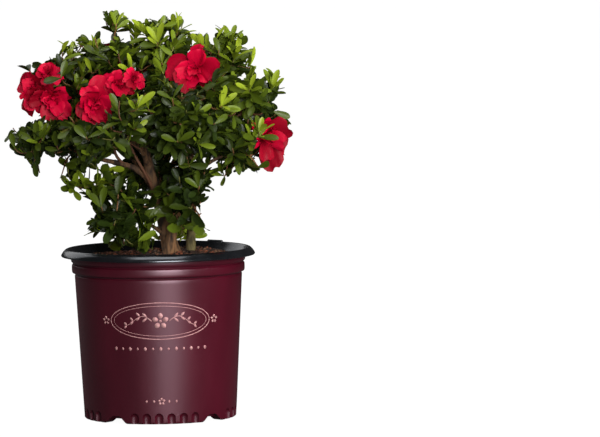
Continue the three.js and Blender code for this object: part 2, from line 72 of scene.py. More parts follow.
def select_points(obj, chosen):
    """In edit mode, selects just the points whose place in millimetres passes a test."""
    bpy.ops.object.mode_set(mode="OBJECT")
    obj.data.polygons.foreach_set("select", [False] * len(obj.data.polygons))
    obj.data.edges.foreach_set("select", [False] * len(obj.data.edges))
    for point in obj.data.vertices:
        point.select = bool(chosen(point.co / MM))
    bpy.ops.object.mode_set(mode="EDIT")


def apply_modifier(obj, kind, **settings):
    select_only(obj)
    modifier = obj.modifiers.new(kind.title(), kind)
    for name, value in settings.items():
        setattr(modifier, name, value)
    bpy.ops.object.modifier_apply(modifier=modifier.name)


def place_piece(obj, name, materials, replaced=(), kinds=None):
    """Bakes the object's place into its mesh, deals out its materials and hangs it on the plant."""
    select_only(obj)
    bpy.ops.object.transform_apply(location=True, rotation=True, scale=True)
    obj.name = name
    obj.data.materials.clear()
    for material in materials:
        obj.data.materials.append(material)
    if kinds is not None:
        obj.data.polygons.foreach_set("material_index", np.asarray(kinds, dtype=np.int32))
    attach(obj, "root")
    if replaced:
        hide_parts(*replaced)
    triangles = sum(len(face.vertices) - 2 for face in obj.data.polygons)
    print(name, "has", triangles, "triangles")


def mesh_object(name, points, faces):
    """An object from arrays: points in millimetres, faces as rows of point numbers."""
    mesh = bpy.data.meshes.new(name)
    rows = faces.tolist() if isinstance(faces, np.ndarray) else faces
    mesh.from_pydata((np.asarray(points) * MM).tolist(), [], rows)
    mesh.shade_smooth()
    obj = bpy.data.objects.new(name, mesh)
    bpy.context.scene.collection.objects.link(obj)
    return obj


# %% [markdown]
# ## The camera
# The picture was taken from almost level, a few degrees above the rim, through a long lens, so the
# pot's sides look straight. The pot stands left of the middle. The camera stands far away and looks
# straight ahead, beside the plant, which leaves the shift at nought.

# %% Camera
IMAGE = (600, 437)
POT_FOOT_PIXEL = (160.3, 416.7)
MM_PER_PIXEL = 1.0464
ELEVATION = math.radians(4.3)
ROLL = math.radians(0.8)
CAMERA_DISTANCE = 6000.0
SENSOR = 36.0
SIGHT_END = 100.0


def aim_point():
    """The point in the middle of the picture, for the pot's foot to fall on its own pixel."""
    right = POT_FOOT_PIXEL[0] - IMAGE[0] / 2
    down = POT_FOOT_PIXEL[1] - IMAGE[1] / 2
    level_right = right * math.cos(ROLL) - down * math.sin(ROLL)
    level_down = right * math.sin(ROLL) + down * math.cos(ROLL)
    return -level_right * MM_PER_PIXEL, 0.0, level_down * MM_PER_PIXEL / math.cos(ELEVATION)


def add_camera():
    x, y, z = aim_point()
    back = CAMERA_DISTANCE * math.cos(ELEVATION)
    place = (x * MM, (y - back) * MM, (z + CAMERA_DISTANCE * math.sin(ELEVATION)) * MM)
    tilt = Matrix.Rotation(math.pi / 2 - ELEVATION, 3, "X")
    turn = (tilt @ Matrix.Rotation(-ROLL, 3, "Z")).to_euler()
    bpy.ops.object.camera_add(location=place, rotation=turn)
    camera = bpy.context.object
    camera.data.sensor_width = SENSOR
    camera.data.lens = SENSOR * CAMERA_DISTANCE / (IMAGE[0] * MM_PER_PIXEL)
    camera.data.clip_end = SIGHT_END
    bpy.context.scene.camera = camera
    print("camera lens in mm:", round(camera.data.lens, 1))


deselect_all()
add_camera()

# %% [markdown]
# ## Floor and light
# A plain pale floor reaches past the edges of the picture. It glows for the camera alone, most where
# the lights hardly reach, so it looks white but doesn't light the plant. One wide soft light stands
# low, to the right of the camera, and draws the soft upright sheen on the pot. One above brightens
# the leaf tops. One on the right and one behind light what the first doesn't reach, and are kept out
# of mirror-like surfaces. A weak wide one behind draws the pale line at the ends of the rim.

# %% Floor and lights
FLOOR_SIZE = 60.0
LIGHTS = [
    {"name": "key", "place": (0.5, -1.9, 0.64), "size": (1.1, 1.24), "power": 48.0},
    {"name": "top", "place": (0.0, -0.3, 2.0), "size": (1.4, 1.4), "power": 17.0},
    {"name": "right", "place": (1.9, -0.7, 0.7), "size": (0.6, 1.4), "power": 40.0, "soft": True},
    {"name": "rear", "place": (-1.3, 1.6, 1.3), "size": (1.2, 1.2), "power": 60.0, "soft": True},
    {"name": "edge", "place": (-1.3, 1.6, 1.4), "size": (1.7, 1.7), "power": 9.0},
]
LIGHT_AIM = (0.0, 0.0, 0.22)
WHITE = (1.0, 1.0, 1.0, 1.0)
SKY_STRENGTH = 0.035
FLOOR_TONE = (0.04, 0.04, 0.04, 1.0)
FLOOR_GLOW = (0.96, 1.0)
GLOW_REACH = (0.3, 1.6)


def add_node(tree, kind, **settings):
    node = tree.nodes.new("ShaderNode" + kind)
    for name, value in settings.items():
        setattr(node, name, value)
    return node


def link(tree, source, target):
    tree.links.new(source, target)


def add_light(spec):
    bpy.ops.object.light_add(type="AREA", location=spec["place"])
    light = bpy.context.object
    light.name = "light_" + spec["name"]
    light.data.shape = "RECTANGLE"
    light.data.size, light.data.size_y = spec["size"]
    light.data.energy = spec["power"]
    light.visible_glossy = not spec.get("soft", False)
    away = light.location - Vector(LIGHT_AIM)
    light.rotation_euler = away.to_track_quat("Z", "Y").to_euler()


def add_floor():
    bpy.ops.mesh.primitive_plane_add(size=FLOOR_SIZE)
    floor = bpy.context.object
    floor.name = "floor"
    material = bpy.data.materials.new("pale_floor")
    material.use_nodes = True
    tree = material.node_tree
    shader = tree.nodes["Principled BSDF"]
    shader.inputs["Base Color"].default_value = FLOOR_TONE
    shader.inputs["Roughness"].default_value = 1.0
    shader.inputs["Emission Color"].default_value = WHITE
    place = add_node(tree, "TexCoord")
    away = add_node(tree, "VectorMath", operation="LENGTH")
    spread = add_node(tree, "MapRange")
    spread.inputs["From Min"].default_value, spread.inputs["From Max"].default_value = GLOW_REACH
    spread.inputs["To Min"].default_value, spread.inputs["To Max"].default_value = FLOOR_GLOW
    rays = add_node(tree, "LightPath")
    glow = add_node(tree, "Math", operation="MULTIPLY")
    link(tree, place.outputs["Object"], away.inputs[0])
    link(tree, away.outputs["Value"], spread.inputs["Value"])
    link(tree, spread.outputs["Result"], glow.inputs[0])
    link(tree, rays.outputs["Is Camera Ray"], glow.inputs[1])
    link(tree, glow.outputs["Value"], shader.inputs["Emission Strength"])
    floor.data.materials.append(material)


def add_sky():
    world = bpy.data.worlds.new("studio")
    world.use_nodes = True
    background = world.node_tree.nodes["Background"]
    background.inputs["Color"].default_value = WHITE
    background.inputs["Strength"].default_value = SKY_STRENGTH
    bpy.context.scene.world = world
    bpy.context.scene.view_settings.view_transform = "Standard"


deselect_all()
add_floor()
add_sky()
for light_spec in LIGHTS:
    add_light(light_spec)
print("lights:", len(LIGHTS))

# %% [markdown]
# ## Finishes
# Plastic, bark, soil and leaves are all a little uneven, in tone, in gloss and in height. They share
# one node group that gives two tones, a mask and a height from the same noise. It has named sockets
# and is built once. It reads Object coordinates, so the pattern stays put on the piece. Each finish
# then places the group with its own sizes.

# %% The shared shader group
NOISE_DETAIL = 5.0
# A Mix node keeps the sockets for colours at these numbers.
MIX_DARK, MIX_LIGHT, MIX_COLOR = 6, 7, 2


def new_group(name, inputs, outputs):
    """An empty shader group with its sockets: inputs are (name, kind, value), outputs (name, kind)."""
    group = bpy.data.node_groups.new(name, "ShaderNodeTree")
    for label, kind, value in inputs:
        socket = group.interface.new_socket(label, in_out="INPUT", socket_type=kind)
        socket.default_value = value
    for label, kind in outputs:
        group.interface.new_socket(label, in_out="OUTPUT", socket_type=kind)
    return group


def noise_on_object(tree, source):
    """Noise on Object coordinates: its size and stretch come from the group's own inputs."""
    place = add_node(tree, "TexCoord")
    mapping = add_node(tree, "Mapping")
    noise = add_node(tree, "TexNoise")
    noise.inputs["Detail"].default_value = NOISE_DETAIL
    link(tree, place.outputs["Object"], mapping.inputs["Vector"])
    link(tree, source.outputs["Stretch"], mapping.inputs["Scale"])
    link(tree, mapping.outputs["Vector"], noise.inputs["Vector"])
    link(tree, source.outputs["Scale"], noise.inputs["Scale"])
    return noise


def build_mottle():
    """Two tones in soft patches, with a mask and a fine height."""
    group = new_group(
        "mottle",
        [
            ("Scale", "NodeSocketFloat", 200.0),
            ("Stretch", "NodeSocketVector", (1.0, 1.0, 1.0)),
            ("Low", "NodeSocketFloat", 0.4),
            ("High", "NodeSocketFloat", 0.6),
            ("Dark", "NodeSocketColor", (0.1, 0.1, 0.1, 1.0)),
            ("Light", "NodeSocketColor", (0.2, 0.2, 0.2, 1.0)),
        ],
        [("Color", "NodeSocketColor"), ("Mask", "NodeSocketFloat"), ("Height", "NodeSocketFloat")],
    )
    source = group.nodes.new("NodeGroupInput")
    result = group.nodes.new("NodeGroupOutput")
    noise = noise_on_object(group, source)
    spread = add_node(group, "MapRange")
    blend = add_node(group, "Mix", data_type="RGBA")
    link(group, noise.outputs["Fac"], spread.inputs["Value"])
    link(group, source.outputs["Low"], spread.inputs["From Min"])
    link(group, source.outputs["High"], spread.inputs["From Max"])
    link(group, spread.outputs["Result"], blend.inputs["Factor"])
    link(group, source.outputs["Dark"], blend.inputs[MIX_DARK])
    link(group, source.outputs["Light"], blend.inputs[MIX_LIGHT])
    link(group, blend.outputs[MIX_COLOR], result.inputs["Color"])
    link(group, spread.outputs["Result"], result.inputs["Mask"])
    link(group, noise.outputs["Fac"], result.inputs["Height"])
    return group


MOTTLE = build_mottle()
print("shader groups:", [group.name for group in bpy.data.node_groups])


# %% A finish from the shared group
def color_of(red, green, blue):
    """A colour given as the eye reads it, from 0 to 255, turned to linear light."""
    shares = [value / 255 for value in (red, green, blue)]
    linear = [s / 12.92 if s <= 0.04045 else ((s + 0.055) / 1.055) ** 2.4 for s in shares]
    return (*linear, 1.0)


def new_finish(name, base, roughness, **sockets):
    material = bpy.data.materials.new(name)
    material.use_nodes = True
    shader = material.node_tree.nodes["Principled BSDF"]
    shader.inputs["Base Color"].default_value = base
    shader.inputs["Roughness"].default_value = roughness
    for label, value in sockets.items():
        shader.inputs[label.replace("_", " ")].default_value = value
    return material


def add_mottle(material, scale, stretch=(1, 1, 1), low=0.4, high=0.6, dark=None, light=None):
    tree = material.node_tree
    node = add_node(tree, "Group", node_tree=MOTTLE)
    node.inputs["Scale"].default_value = scale
    node.inputs["Stretch"].default_value = stretch
    node.inputs["Low"].default_value = low
    node.inputs["High"].default_value = high
    if dark:
        node.inputs["Dark"].default_value = dark
        node.inputs["Light"].default_value = light
        link(tree, node.outputs["Color"], tree.nodes["Principled BSDF"].inputs["Base Color"])
    return node


def vary_roughness(material, mottle, low, high):
    tree = material.node_tree
    spread = add_node(tree, "MapRange")
    spread.inputs["To Min"].default_value = low
    spread.inputs["To Max"].default_value = high
    link(tree, mottle.outputs["Mask"], spread.inputs["Value"])
    link(tree, spread.outputs["Result"], tree.nodes["Principled BSDF"].inputs["Roughness"])


def add_relief(material, mottle, depth_mm, strength=1.0):
    tree = material.node_tree
    bump = add_node(tree, "Bump")
    bump.inputs["Strength"].default_value = strength
    bump.inputs["Distance"].default_value = depth_mm * MM
    link(tree, mottle.outputs["Height"], bump.inputs["Height"])
    link(tree, bump.outputs["Normal"], tree.nodes["Principled BSDF"].inputs["Normal"])


# %% [markdown]
# ## The pot
# The real pot is blown in two layers of plastic: burgundy outside, black inside and round the lip.
# It could be a spun curve, but growing it ring by ring from one circle, as on a potter's wheel,
# keeps every ring at a height that has a meaning. The feet, the flutes pressed into them and the
# drain slots are cut afterwards with Booleans.

# %% Pot sizes and outline
LIP_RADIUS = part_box("pot")[1].x / MM
POT_HEIGHT = 177.5
WALL = 1.8
FLOOR_UNDER = 5.0
FLOOR_TOP = 7.2
PAD_RADIUS = 15.0
FOOT_RADIUS = 79.7
FOOT_INNER = 68.0
FOOT_CORNER = 5.0
WALL_TOP = 149.9
WALL_TOP_RADIUS = 87.6
WALL_RINGS = (6, 10, 14, 18, 40, 70, 100, 130, 146)
INNER_CORNER = (14.5, 17.0)
FLOOR_MIDDLE = 20.0
COLLAR_RADIUS = 90.5
COLLAR_TOP = 162.3
RIM_BAND_RADIUS = 91.6
LIP_UNDER = 170.0
EDGE_ROUND = 2.2
POT_SIDES = 192


def arc(centre, radius, start, end, steps):
    """Points on a round stretch of a profile, from one angle to another, in degrees."""
    turns = np.radians(np.linspace(start, end, steps + 1))
    return [(centre[0] + radius * math.cos(t), centre[1] + radius * math.sin(t)) for t in turns]


def wall_radius(height):
    share = (height - FOOT_CORNER) / (WALL_TOP - FOOT_CORNER)
    return FOOT_RADIUS + (WALL_TOP_RADIUS - FOOT_RADIUS) * share


def pot_profile():
    """The outline from the pad under the floor, up the outside, over the lip and down inside."""
    outside = [
        (PAD_RADIUS - 0.6, 0.0),
        (PAD_RADIUS, 0.6),
        (PAD_RADIUS + 2, FLOOR_UNDER),
        (FOOT_INNER - 2, FLOOR_UNDER),
        (FOOT_INNER - 0.4, 0.5),
        (FOOT_INNER + 0.4, 0.0),
        *arc((wall_radius(EDGE_ROUND) - EDGE_ROUND, EDGE_ROUND), EDGE_ROUND, -90, 0, 5),
        *[(wall_radius(height), height) for height in WALL_RINGS],
        *arc((WALL_TOP_RADIUS - 1.2, WALL_TOP - 0.4), 1.2, 0, 60, 3),
        (WALL_TOP_RADIUS - 1.1, WALL_TOP + 1.2),
        (WALL_TOP_RADIUS - 0.9, WALL_TOP + 2.1),
        *arc((COLLAR_RADIUS - 1.8, WALL_TOP + 4.4), 1.7, -75, -10, 3),
        (COLLAR_RADIUS, WALL_TOP + 6.4),
        (COLLAR_RADIUS, WALL_TOP + 9.2),
        *arc((COLLAR_RADIUS - 1.6, COLLAR_TOP - 1.8), 1.5, 10, 75, 3),
        (COLLAR_RADIUS - 1.9, COLLAR_TOP + 0.2),
        (COLLAR_RADIUS - 1.7, COLLAR_TOP + 0.9),
        (COLLAR_RADIUS - 0.2, COLLAR_TOP + 1.5),
        (RIM_BAND_RADIUS - 0.6, COLLAR_TOP + 2.4),
        (RIM_BAND_RADIUS - 0.1, COLLAR_TOP + 4.6),
        (RIM_BAND_RADIUS, LIP_UNDER - 0.2),
        (RIM_BAND_RADIUS + 0.6, LIP_UNDER),
    ]
    lip = [
        (LIP_RADIUS - 1.4, LIP_UNDER - 0.3),
        (LIP_RADIUS - 0.5, LIP_UNDER - 0.1),
        (LIP_RADIUS, LIP_UNDER + 0.6),
        (LIP_RADIUS - 0.2, LIP_UNDER + 1.6),
        (LIP_RADIUS - 1.1, LIP_UNDER + 3.2),
        (LIP_RADIUS - 2.6, LIP_UNDER + 5.2),
        (LIP_RADIUS - 4.4, POT_HEIGHT - 0.6),
        (LIP_RADIUS - 5.8, POT_HEIGHT),
        (LIP_RADIUS - 7.1, POT_HEIGHT - 0.4),
        (LIP_RADIUS - 8.0, POT_HEIGHT - 1.6),
    ]
    inside = [
        (RIM_BAND_RADIUS - WALL, COLLAR_TOP + 3),
        (COLLAR_RADIUS - 2 - WALL, COLLAR_TOP + 0.5),
        (COLLAR_RADIUS - 2 - WALL, WALL_TOP + 2),
        (WALL_TOP_RADIUS - WALL, WALL_TOP),
        (wall_radius(INNER_CORNER[1]) - WALL, INNER_CORNER[1]),
        (FOOT_RADIUS - 2 * WALL, INNER_CORNER[0]),
        (FOOT_RADIUS - WALL - 5, FLOOR_TOP),
        (FLOOR_MIDDLE, FLOOR_TOP),
    ]
    return outside + lip + inside


# %% Turn a profile ring by ring
def turned(profile, sides):
    """Grows a closed shell from one circle: each ring is extruded, lifted and resized."""
    deselect_all()
    radius, height = profile[0]
    circle = {"vertices": sides, "radius": radius * MM, "location": (0, 0, height * MM)}
    bpy.ops.mesh.primitive_circle_add(**circle)
    obj = bpy.context.object
    bpy.ops.object.mode_set(mode="EDIT")
    bpy.ops.mesh.select_all(action="SELECT")
    for (radius, height), (next_radius, next_height) in zip(profile, profile[1:]):
        lift = {"value": (0, 0, (next_height - height) * MM)}
        bpy.ops.mesh.extrude_edges_move(TRANSFORM_OT_translate=lift)
        widen = next_radius / radius
        bpy.ops.transform.resize(value=(widen, widen, 1), center_override=(0, 0, 0))
    bpy.ops.mesh.edge_face_add()
    bpy.ops.mesh.select_all(action="DESELECT")
    bpy.ops.mesh.select_non_manifold()
    bpy.ops.mesh.edge_face_add()
    bpy.ops.mesh.select_all(action="SELECT")
    bpy.ops.mesh.normals_make_consistent(inside=False)
    bpy.ops.object.mode_set(mode="OBJECT")
    bpy.ops.object.transform_apply(location=True, rotation=True, scale=True)
    return obj


pot = turned(pot_profile(), POT_SIDES)
print("pot rings:", len(pot_profile()), "of", POT_SIDES, "points")

# %% [markdown]
# The wall ends in four feet. Between two feet the edge rises in a wave, steep beside the front and
# back feet and gentle beside the others. A channel under the floor and a drain slot above it follow
# the same edge. Thumb-shaped flutes are pressed into each foot.

# %% Shape the cutters
NOTCHES = [(-35.0, 1), (45.0, -1), (145.0, 1), (225.0, -1)]
NOTCH_HEIGHT = 8.0
NOTCH_GENTLE = 15.5
NOTCH_STEEP = 13.5
NOTCH_CREST = 6.5
NOTCH_BELOW = -2.0
NOTCH_OUTER = FOOT_RADIUS + 6
NOTCH_CUTS = [(FLOOR_UNDER, FOOT_INNER - 3), (NOTCH_HEIGHT, FOOT_INNER + 6.4)]
FLUTE_RADIUS = 4.8
FLUTE_TOP = 6.9
FLUTE_DEPTH = 3.2
FLUTE_DRAW = 12.0
FLUTE_PITCH = 9.3
FEET = [(5.0, 6), (95.0, 8), (185.0, 6), (275.0, 8)]


def wave(start, end, height, steps):
    """A soft rise from the floor to a height, as points from start to end."""
    shares = np.linspace(0, 1, steps + 1)
    return [(start + (end - start) * s, height * (0.5 - 0.5 * math.cos(math.pi * s))) for s in shares]


def notch_cutter(turn, side, height, inner):
    """A block with the notch's outline up to a height, turned to its place, reaching in to a radius."""
    rise = wave(-NOTCH_GENTLE, -1.0, NOTCH_HEIGHT, 8)
    fall = [(NOTCH_CREST - 1.5, NOTCH_HEIGHT), (NOTCH_CREST, NOTCH_HEIGHT - 0.7), (NOTCH_STEEP, 0.0)]
    outline = [(-NOTCH_GENTLE, NOTCH_BELOW), *rise, *fall, (NOTCH_STEEP, NOTCH_BELOW)]
    outline = [(across, min(up, height)) for across, up in outline]
    points = [(side * across, -depth, up) for depth in (inner, NOTCH_OUTER) for across, up in outline]
    count = len(outline)
    faces = [[i, (i + 1) % count, (i + 1) % count + count, i + count] for i in range(count)]
    ends = [list(range(count)), list(range(2 * count - 1, count - 1, -1))]
    mesh = bpy.data.meshes.new("notch")
    mesh.from_pydata([[v * MM for v in point] for point in points], [], faces + ends)
    cutter = bpy.data.objects.new("notch", mesh)
    bpy.context.scene.collection.objects.link(cutter)
    cutter.rotation_euler.z = math.radians(turn)
    return cutter


def flute_cutter():
    """A thumb shape: a small ball whose lower half is drawn down past the pot's foot."""
    deselect_all()
    axis = FOOT_RADIUS + FLUTE_RADIUS - FLUTE_DEPTH
    bpy.ops.mesh.primitive_uv_sphere_add(segments=20, ring_count=10, radius=FLUTE_RADIUS * MM)
    thumb = bpy.context.object
    select_points(thumb, lambda point: point.z < -0.01)
    bpy.ops.transform.translate(value=(0, 0, -FLUTE_DRAW * MM))
    bpy.ops.mesh.select_all(action="SELECT")
    bpy.ops.transform.translate(value=(0, -axis * MM, FLUTE_TOP * MM))
    bpy.ops.object.mode_set(mode="OBJECT")
    return thumb


# %% Cut the feet and the flutes
def copies_round(obj, turns):
    """Copies of an object turned about the pot's axis, each with its own mesh."""
    made = []
    for turn in turns:
        copy = obj.copy()
        copy.data = obj.data.copy()
        copy.rotation_euler.z = math.radians(turn)
        bpy.context.scene.collection.objects.link(copy)
        made.append(copy)
    bpy.data.objects.remove(obj)
    return made


def cut_away(obj, cutters):
    """Joins the cutters, points their faces outwards and subtracts them."""
    select_only(*cutters)
    bpy.ops.object.join()
    tool = bpy.context.object
    bpy.ops.object.transform_apply(location=True, rotation=True, scale=True)
    bpy.ops.object.mode_set(mode="EDIT")
    bpy.ops.mesh.select_all(action="SELECT")
    bpy.ops.mesh.normals_make_consistent(inside=False)
    bpy.ops.object.mode_set(mode="OBJECT")
    apply_modifier(obj, "BOOLEAN", object=tool, operation="DIFFERENCE", solver="EXACT")
    bpy.data.objects.remove(tool)


for cut_height, cut_inner in NOTCH_CUTS:
    cut_away(pot, [notch_cutter(turn, side, cut_height, cut_inner) for turn, side in NOTCHES])
flute_turns = [
    middle + (k - (count - 1) / 2) * FLUTE_PITCH for middle, count in FEET for k in range(count)
]
cut_away(pot, copies_round(flute_cutter(), flute_turns))
print("feet:", len(FEET), "flutes:", len(flute_turns))

# %% [markdown]
# Polypropylene has a soft sheen and almost no texture, so its finish is mostly roughness: a little
# clouding from handling, and a relief so fine that it only softens reflections. The highlights are
# tinted a little, rosy on the burgundy wall and cool on the black lip.

# %% Pot finishes
ROSY_SHEEN = (1.0, 0.76, 0.86, 1.0)
COOL_SHEEN = (0.88, 0.93, 1.0, 1.0)
POT_CREASE = 32.0


def burgundy_plastic():
    finish = new_finish("burgundy_plastic", color_of(62, 3, 19), 0.37,
                        Specular_IOR_Level=0.95, Specular_Tint=ROSY_SHEEN)
    clouds = add_mottle(
        finish, 26.0, (1, 1, 0.35), 0.3, 0.75, dark=color_of(56, 2, 16), light=color_of(68, 4, 22)
    )
    vary_roughness(finish, clouds, 0.34, 0.4)
    add_relief(finish, add_mottle(finish, 900.0), 0.03, 0.5)
    return finish


def black_plastic():
    finish = new_finish("black_plastic", color_of(14, 15, 17), 0.2,
                        Specular_IOR_Level=1.0, Specular_Tint=COOL_SHEEN)
    clouds = add_mottle(
        finish, 60.0, (1, 1, 1), 0.35, 0.7, dark=color_of(11, 12, 14), light=color_of(19, 20, 23)
    )
    vary_roughness(finish, clouds, 0.16, 0.26)
    add_relief(finish, add_mottle(finish, 700.0), 0.03, 0.5)
    return finish


def is_black(face):
    """The lip and all that faces the pot's inside are black, and the rest is burgundy."""
    inward = face.normal.x * face.center.x + face.normal.y * face.center.y < -0.05 * MM
    return face.center.z > (LIP_UNDER - 0.1) * MM or inward and face.center.z > FLOOR_TOP * MM


BLACK = black_plastic()
BURGUNDY = burgundy_plastic()
select_only(pot)
bpy.ops.object.shade_smooth_by_angle(angle=math.radians(POT_CREASE))
black = [int(is_black(face)) for face in pot.data.polygons]
place_piece(pot, "pot_shell", [BURGUNDY, BLACK], ["pot"], black)
print("black faces:", sum(black))

# %% [markdown]
# ## The label tab
# A small black tab stands up at the back of the rim, where a nursery slips in its label.

# %% Label tab on the rim
TAB_TURN = 142.0
TAB_SIZE = (20.0, 2.4, 7.0)
TAB_RADIUS = 95.4
TAB_BOTTOM = 172.0
TAB_ROUND = 0.9
TAB_CREASE = 40.0


def label_tab():
    deselect_all()
    bpy.ops.mesh.primitive_cube_add(size=MM)
    tab = bpy.context.object
    bpy.ops.object.mode_set(mode="EDIT")
    bpy.ops.transform.resize(value=TAB_SIZE)
    middle = (0, -TAB_RADIUS * MM, (TAB_BOTTOM + TAB_SIZE[2] / 2) * MM)
    bpy.ops.transform.translate(value=middle)
    bpy.ops.mesh.bevel(offset=TAB_ROUND * MM, segments=3)
    bpy.ops.object.mode_set(mode="OBJECT")
    tab.rotation_euler.z = math.radians(TAB_TURN)
    return tab


tab_piece = label_tab()
bpy.ops.object.shade_smooth_by_angle(angle=math.radians(TAB_CREASE))
place_piece(tab_piece, "rim_tab", [BLACK])

# %% [markdown]
# ## The printed ornament
# The front of the pot carries a print in dusty pink. Here it is a plain ornament: an oval line with
# five-petalled rosettes and a sprig of leaves to each side, and two rows of dots below. Every stroke
# is a ribbon with a width at each point, bent onto the wall and given a little thickness.

# %% Ribbons on the pot's wall
PRINT_LIFT = 0.1
PRINT_THICK = 0.08
PRINT_TURN = math.radians(2.3)


def on_wall(flat):
    """Bends flat points (across, up) onto the pot's wall, in millimetres."""
    across, up = np.asarray(flat).T
    radius = wall_radius(up) + PRINT_LIFT
    turn = PRINT_TURN + across / wall_radius(100.0)
    return np.stack([radius * np.sin(turn), -radius * np.cos(turn), up], axis=1)


def ribbon(points, widths):
    """A stroke through flat points, as a strip of quads on the wall."""
    points = np.asarray(points, dtype=float)
    heading = np.gradient(points, axis=0)
    heading /= np.linalg.norm(heading, axis=1)[:, None]
    side = np.stack([-heading[:, 1], heading[:, 0]], axis=1) * np.asarray(widths)[:, None] / 2
    rails = np.concatenate([points + side, points - side])
    count = len(points)
    faces = [[i, i + 1, i + 1 + count, i + count] for i in range(count - 1)]
    return on_wall(rails), np.array(faces)


def oval_line(middle, half_wide, half_high, width, steps=72):
    turns = np.linspace(0, 2 * math.pi, steps + 1)
    points = np.stack([half_wide * np.cos(turns), half_high * np.sin(turns)], axis=1) + middle
    return ribbon(points, np.full(steps + 1, width))


def drop(middle, start, length, width, turn, steps=8):
    """A petal or dot: a short stroke that swells and closes again."""
    shares = np.linspace(0, 1, steps + 1)
    way = np.array([math.sin(turn), math.cos(turn)])
    points = np.asarray(middle) + np.outer(start + length * shares, way)
    return ribbon(points, width * np.sin(math.pi * np.clip(shares, 0.04, 0.96)) ** 0.6)


def rosette(middle, size):
    return [drop(middle, 0.16 * size, 0.34 * size, 0.3 * size, k * 2 * math.pi / 5) for k in range(5)]


def joined_arrays(parts):
    """Joins (points, faces) pairs into one pair of arrays."""
    points, faces, start = [], [], 0
    for part_points, part_faces in parts:
        points.append(part_points)
        faces.append(part_faces + start)
        start += len(part_points)
    return np.concatenate(points), np.concatenate(faces)


# %% Compose the ornament
ORNAMENT_MIDDLE = (0.0, 108.0)
OVAL = (54.0, 19.0)
DOT_ROW_HEIGHT = 79.0
LOW_ROW_HEIGHT = 24.0
DOT_PITCH = 8.2


def sprig(middle, way):
    """A curved stem with paired leaves, running out from the rosette in the middle."""
    shares = np.linspace(0, 1, 13)
    stem = np.stack(
        [middle[0] + way * (9 + 29 * shares), middle[1] + 5 * np.sin(math.pi * shares * 1.5)], axis=1
    )
    strokes = [ribbon(stem, np.linspace(1.0, 0.5, 13))]
    for k in (2, 5, 8, 11):
        for lean in (0.75, 2.3):
            strokes.append(drop(stem[k], 0.6, 6.4 - 0.25 * k, 2.4, way * lean))
    return strokes


def ornament():
    strokes = [
        oval_line(ORNAMENT_MIDDLE, *OVAL, 0.9),
        oval_line(ORNAMENT_MIDDLE, OVAL[0] - 4.0, OVAL[1] - 3.4, 0.5),
        *rosette(ORNAMENT_MIDDLE, 17.0),
        *rosette((-OVAL[0] - 6.5, ORNAMENT_MIDDLE[1]), 9.0),
        *rosette((OVAL[0] + 6.5, ORNAMENT_MIDDLE[1]), 9.0),
        *sprig(ORNAMENT_MIDDLE, 1),
        *sprig(ORNAMENT_MIDDLE, -1),
        drop(ORNAMENT_MIDDLE, -1.5, 3.0, 3.0, 0.0),
    ]
    for k in range(-6, 7):
        size = 2.8 if k % 2 else 4.0
        strokes.append(drop((DOT_PITCH * k, DOT_ROW_HEIGHT), -size / 2, size, size * 0.8, 0.0))
    strokes += rosette((0.0, LOW_ROW_HEIGHT), 8.0)
    for k in (-2, -1, 1, 2):
        strokes.append(drop((DOT_PITCH * k, LOW_ROW_HEIGHT), -1.4, 2.8, 2.2, 0.0))
    return joined_arrays(strokes)


def print_ink():
    finish = new_finish("print_ink", color_of(178, 128, 128), 0.5)
    clouds = add_mottle(
        finish, 300.0, (1, 1, 1), 0.3, 0.7, dark=color_of(160, 108, 110), light=color_of(188, 142, 140)
    )
    vary_roughness(finish, clouds, 0.45, 0.6)
    return finish


ornament_piece = mesh_object("pot_print", *ornament())
apply_modifier(ornament_piece, "SOLIDIFY", thickness=PRINT_THICK * MM, offset=0.0)
place_piece(ornament_piece, "pot_print", [print_ink()])

# %% [markdown]
# ## The potting mix
# Nursery mix is mostly composted bark. The packed soil keeps its place and gets a crumbly finish. The
# root ball swells a little above it, most behind the stems. That mound could be sculpted, but a
# formula of the place keeps it smooth, and tells later how high each chip has to lie.

# %% The mound of the root ball
SOIL_TOP = 165.0
MOUND_RADIUS = 85.0
MOUND_HEIGHT = 8.0
MOUND_MIDDLE = (40.0, 28.0)
MOUND_SPREAD = 54.0
MOUND_LEAST = 0.8
MOUND_SINK = 0.3
BUMP_HEIGHT = 0.7


def mound_rise(x, y):
    """How far the root ball stands above the packed soil: most behind the stems, nothing at the wall."""
    away = ((x - MOUND_MIDDLE[0]) ** 2 + (y - MOUND_MIDDLE[1]) ** 2) / (2 * MOUND_SPREAD**2)
    bumps = BUMP_HEIGHT * np.sin(x / 5.3 + 1.2 * np.sin(y / 7.1)) * np.cos(y / 4.7)
    edge = 1 - (np.hypot(x, y) / MOUND_RADIUS) ** 4
    return (MOUND_HEIGHT * np.exp(-away) + bumps + MOUND_LEAST) * np.clip(edge, 0, 1)


def ring_walls(rings, sides):
    """Quads between neighbouring rings of points: along one ring, and back along the next."""
    ring, spot = np.divmod(np.arange((rings - 1) * sides), sides)
    after = (spot + 1) % sides
    low, high = ring * sides, (ring + 1) * sides
    return np.stack([low + spot, low + after, high + after, high + spot], axis=1)


def mound_arrays(rings=44, sides=120):
    """The mound as rings of points round its middle, down to its rim in the packed soil."""
    radius = np.linspace(MOUND_RADIUS / rings, MOUND_RADIUS, rings)
    turn = np.arange(sides) * 2 * math.pi / sides
    x, y = np.outer(radius, np.cos(turn)).ravel(), np.outer(radius, np.sin(turn)).ravel()
    points = np.stack([x, y, SOIL_TOP - MOUND_SINK + mound_rise(x, y)], axis=1)
    middle = [0.0, 0.0, SOIL_TOP - MOUND_SINK + float(mound_rise(0.0, 0.0))]
    facing_up = ring_walls(rings, sides)[:, [0, 3, 2, 1]]
    fan = [[rings * sides, k, (k + 1) % sides] for k in range(sides)]
    return np.concatenate([points, [middle]]), facing_up.tolist() + fan


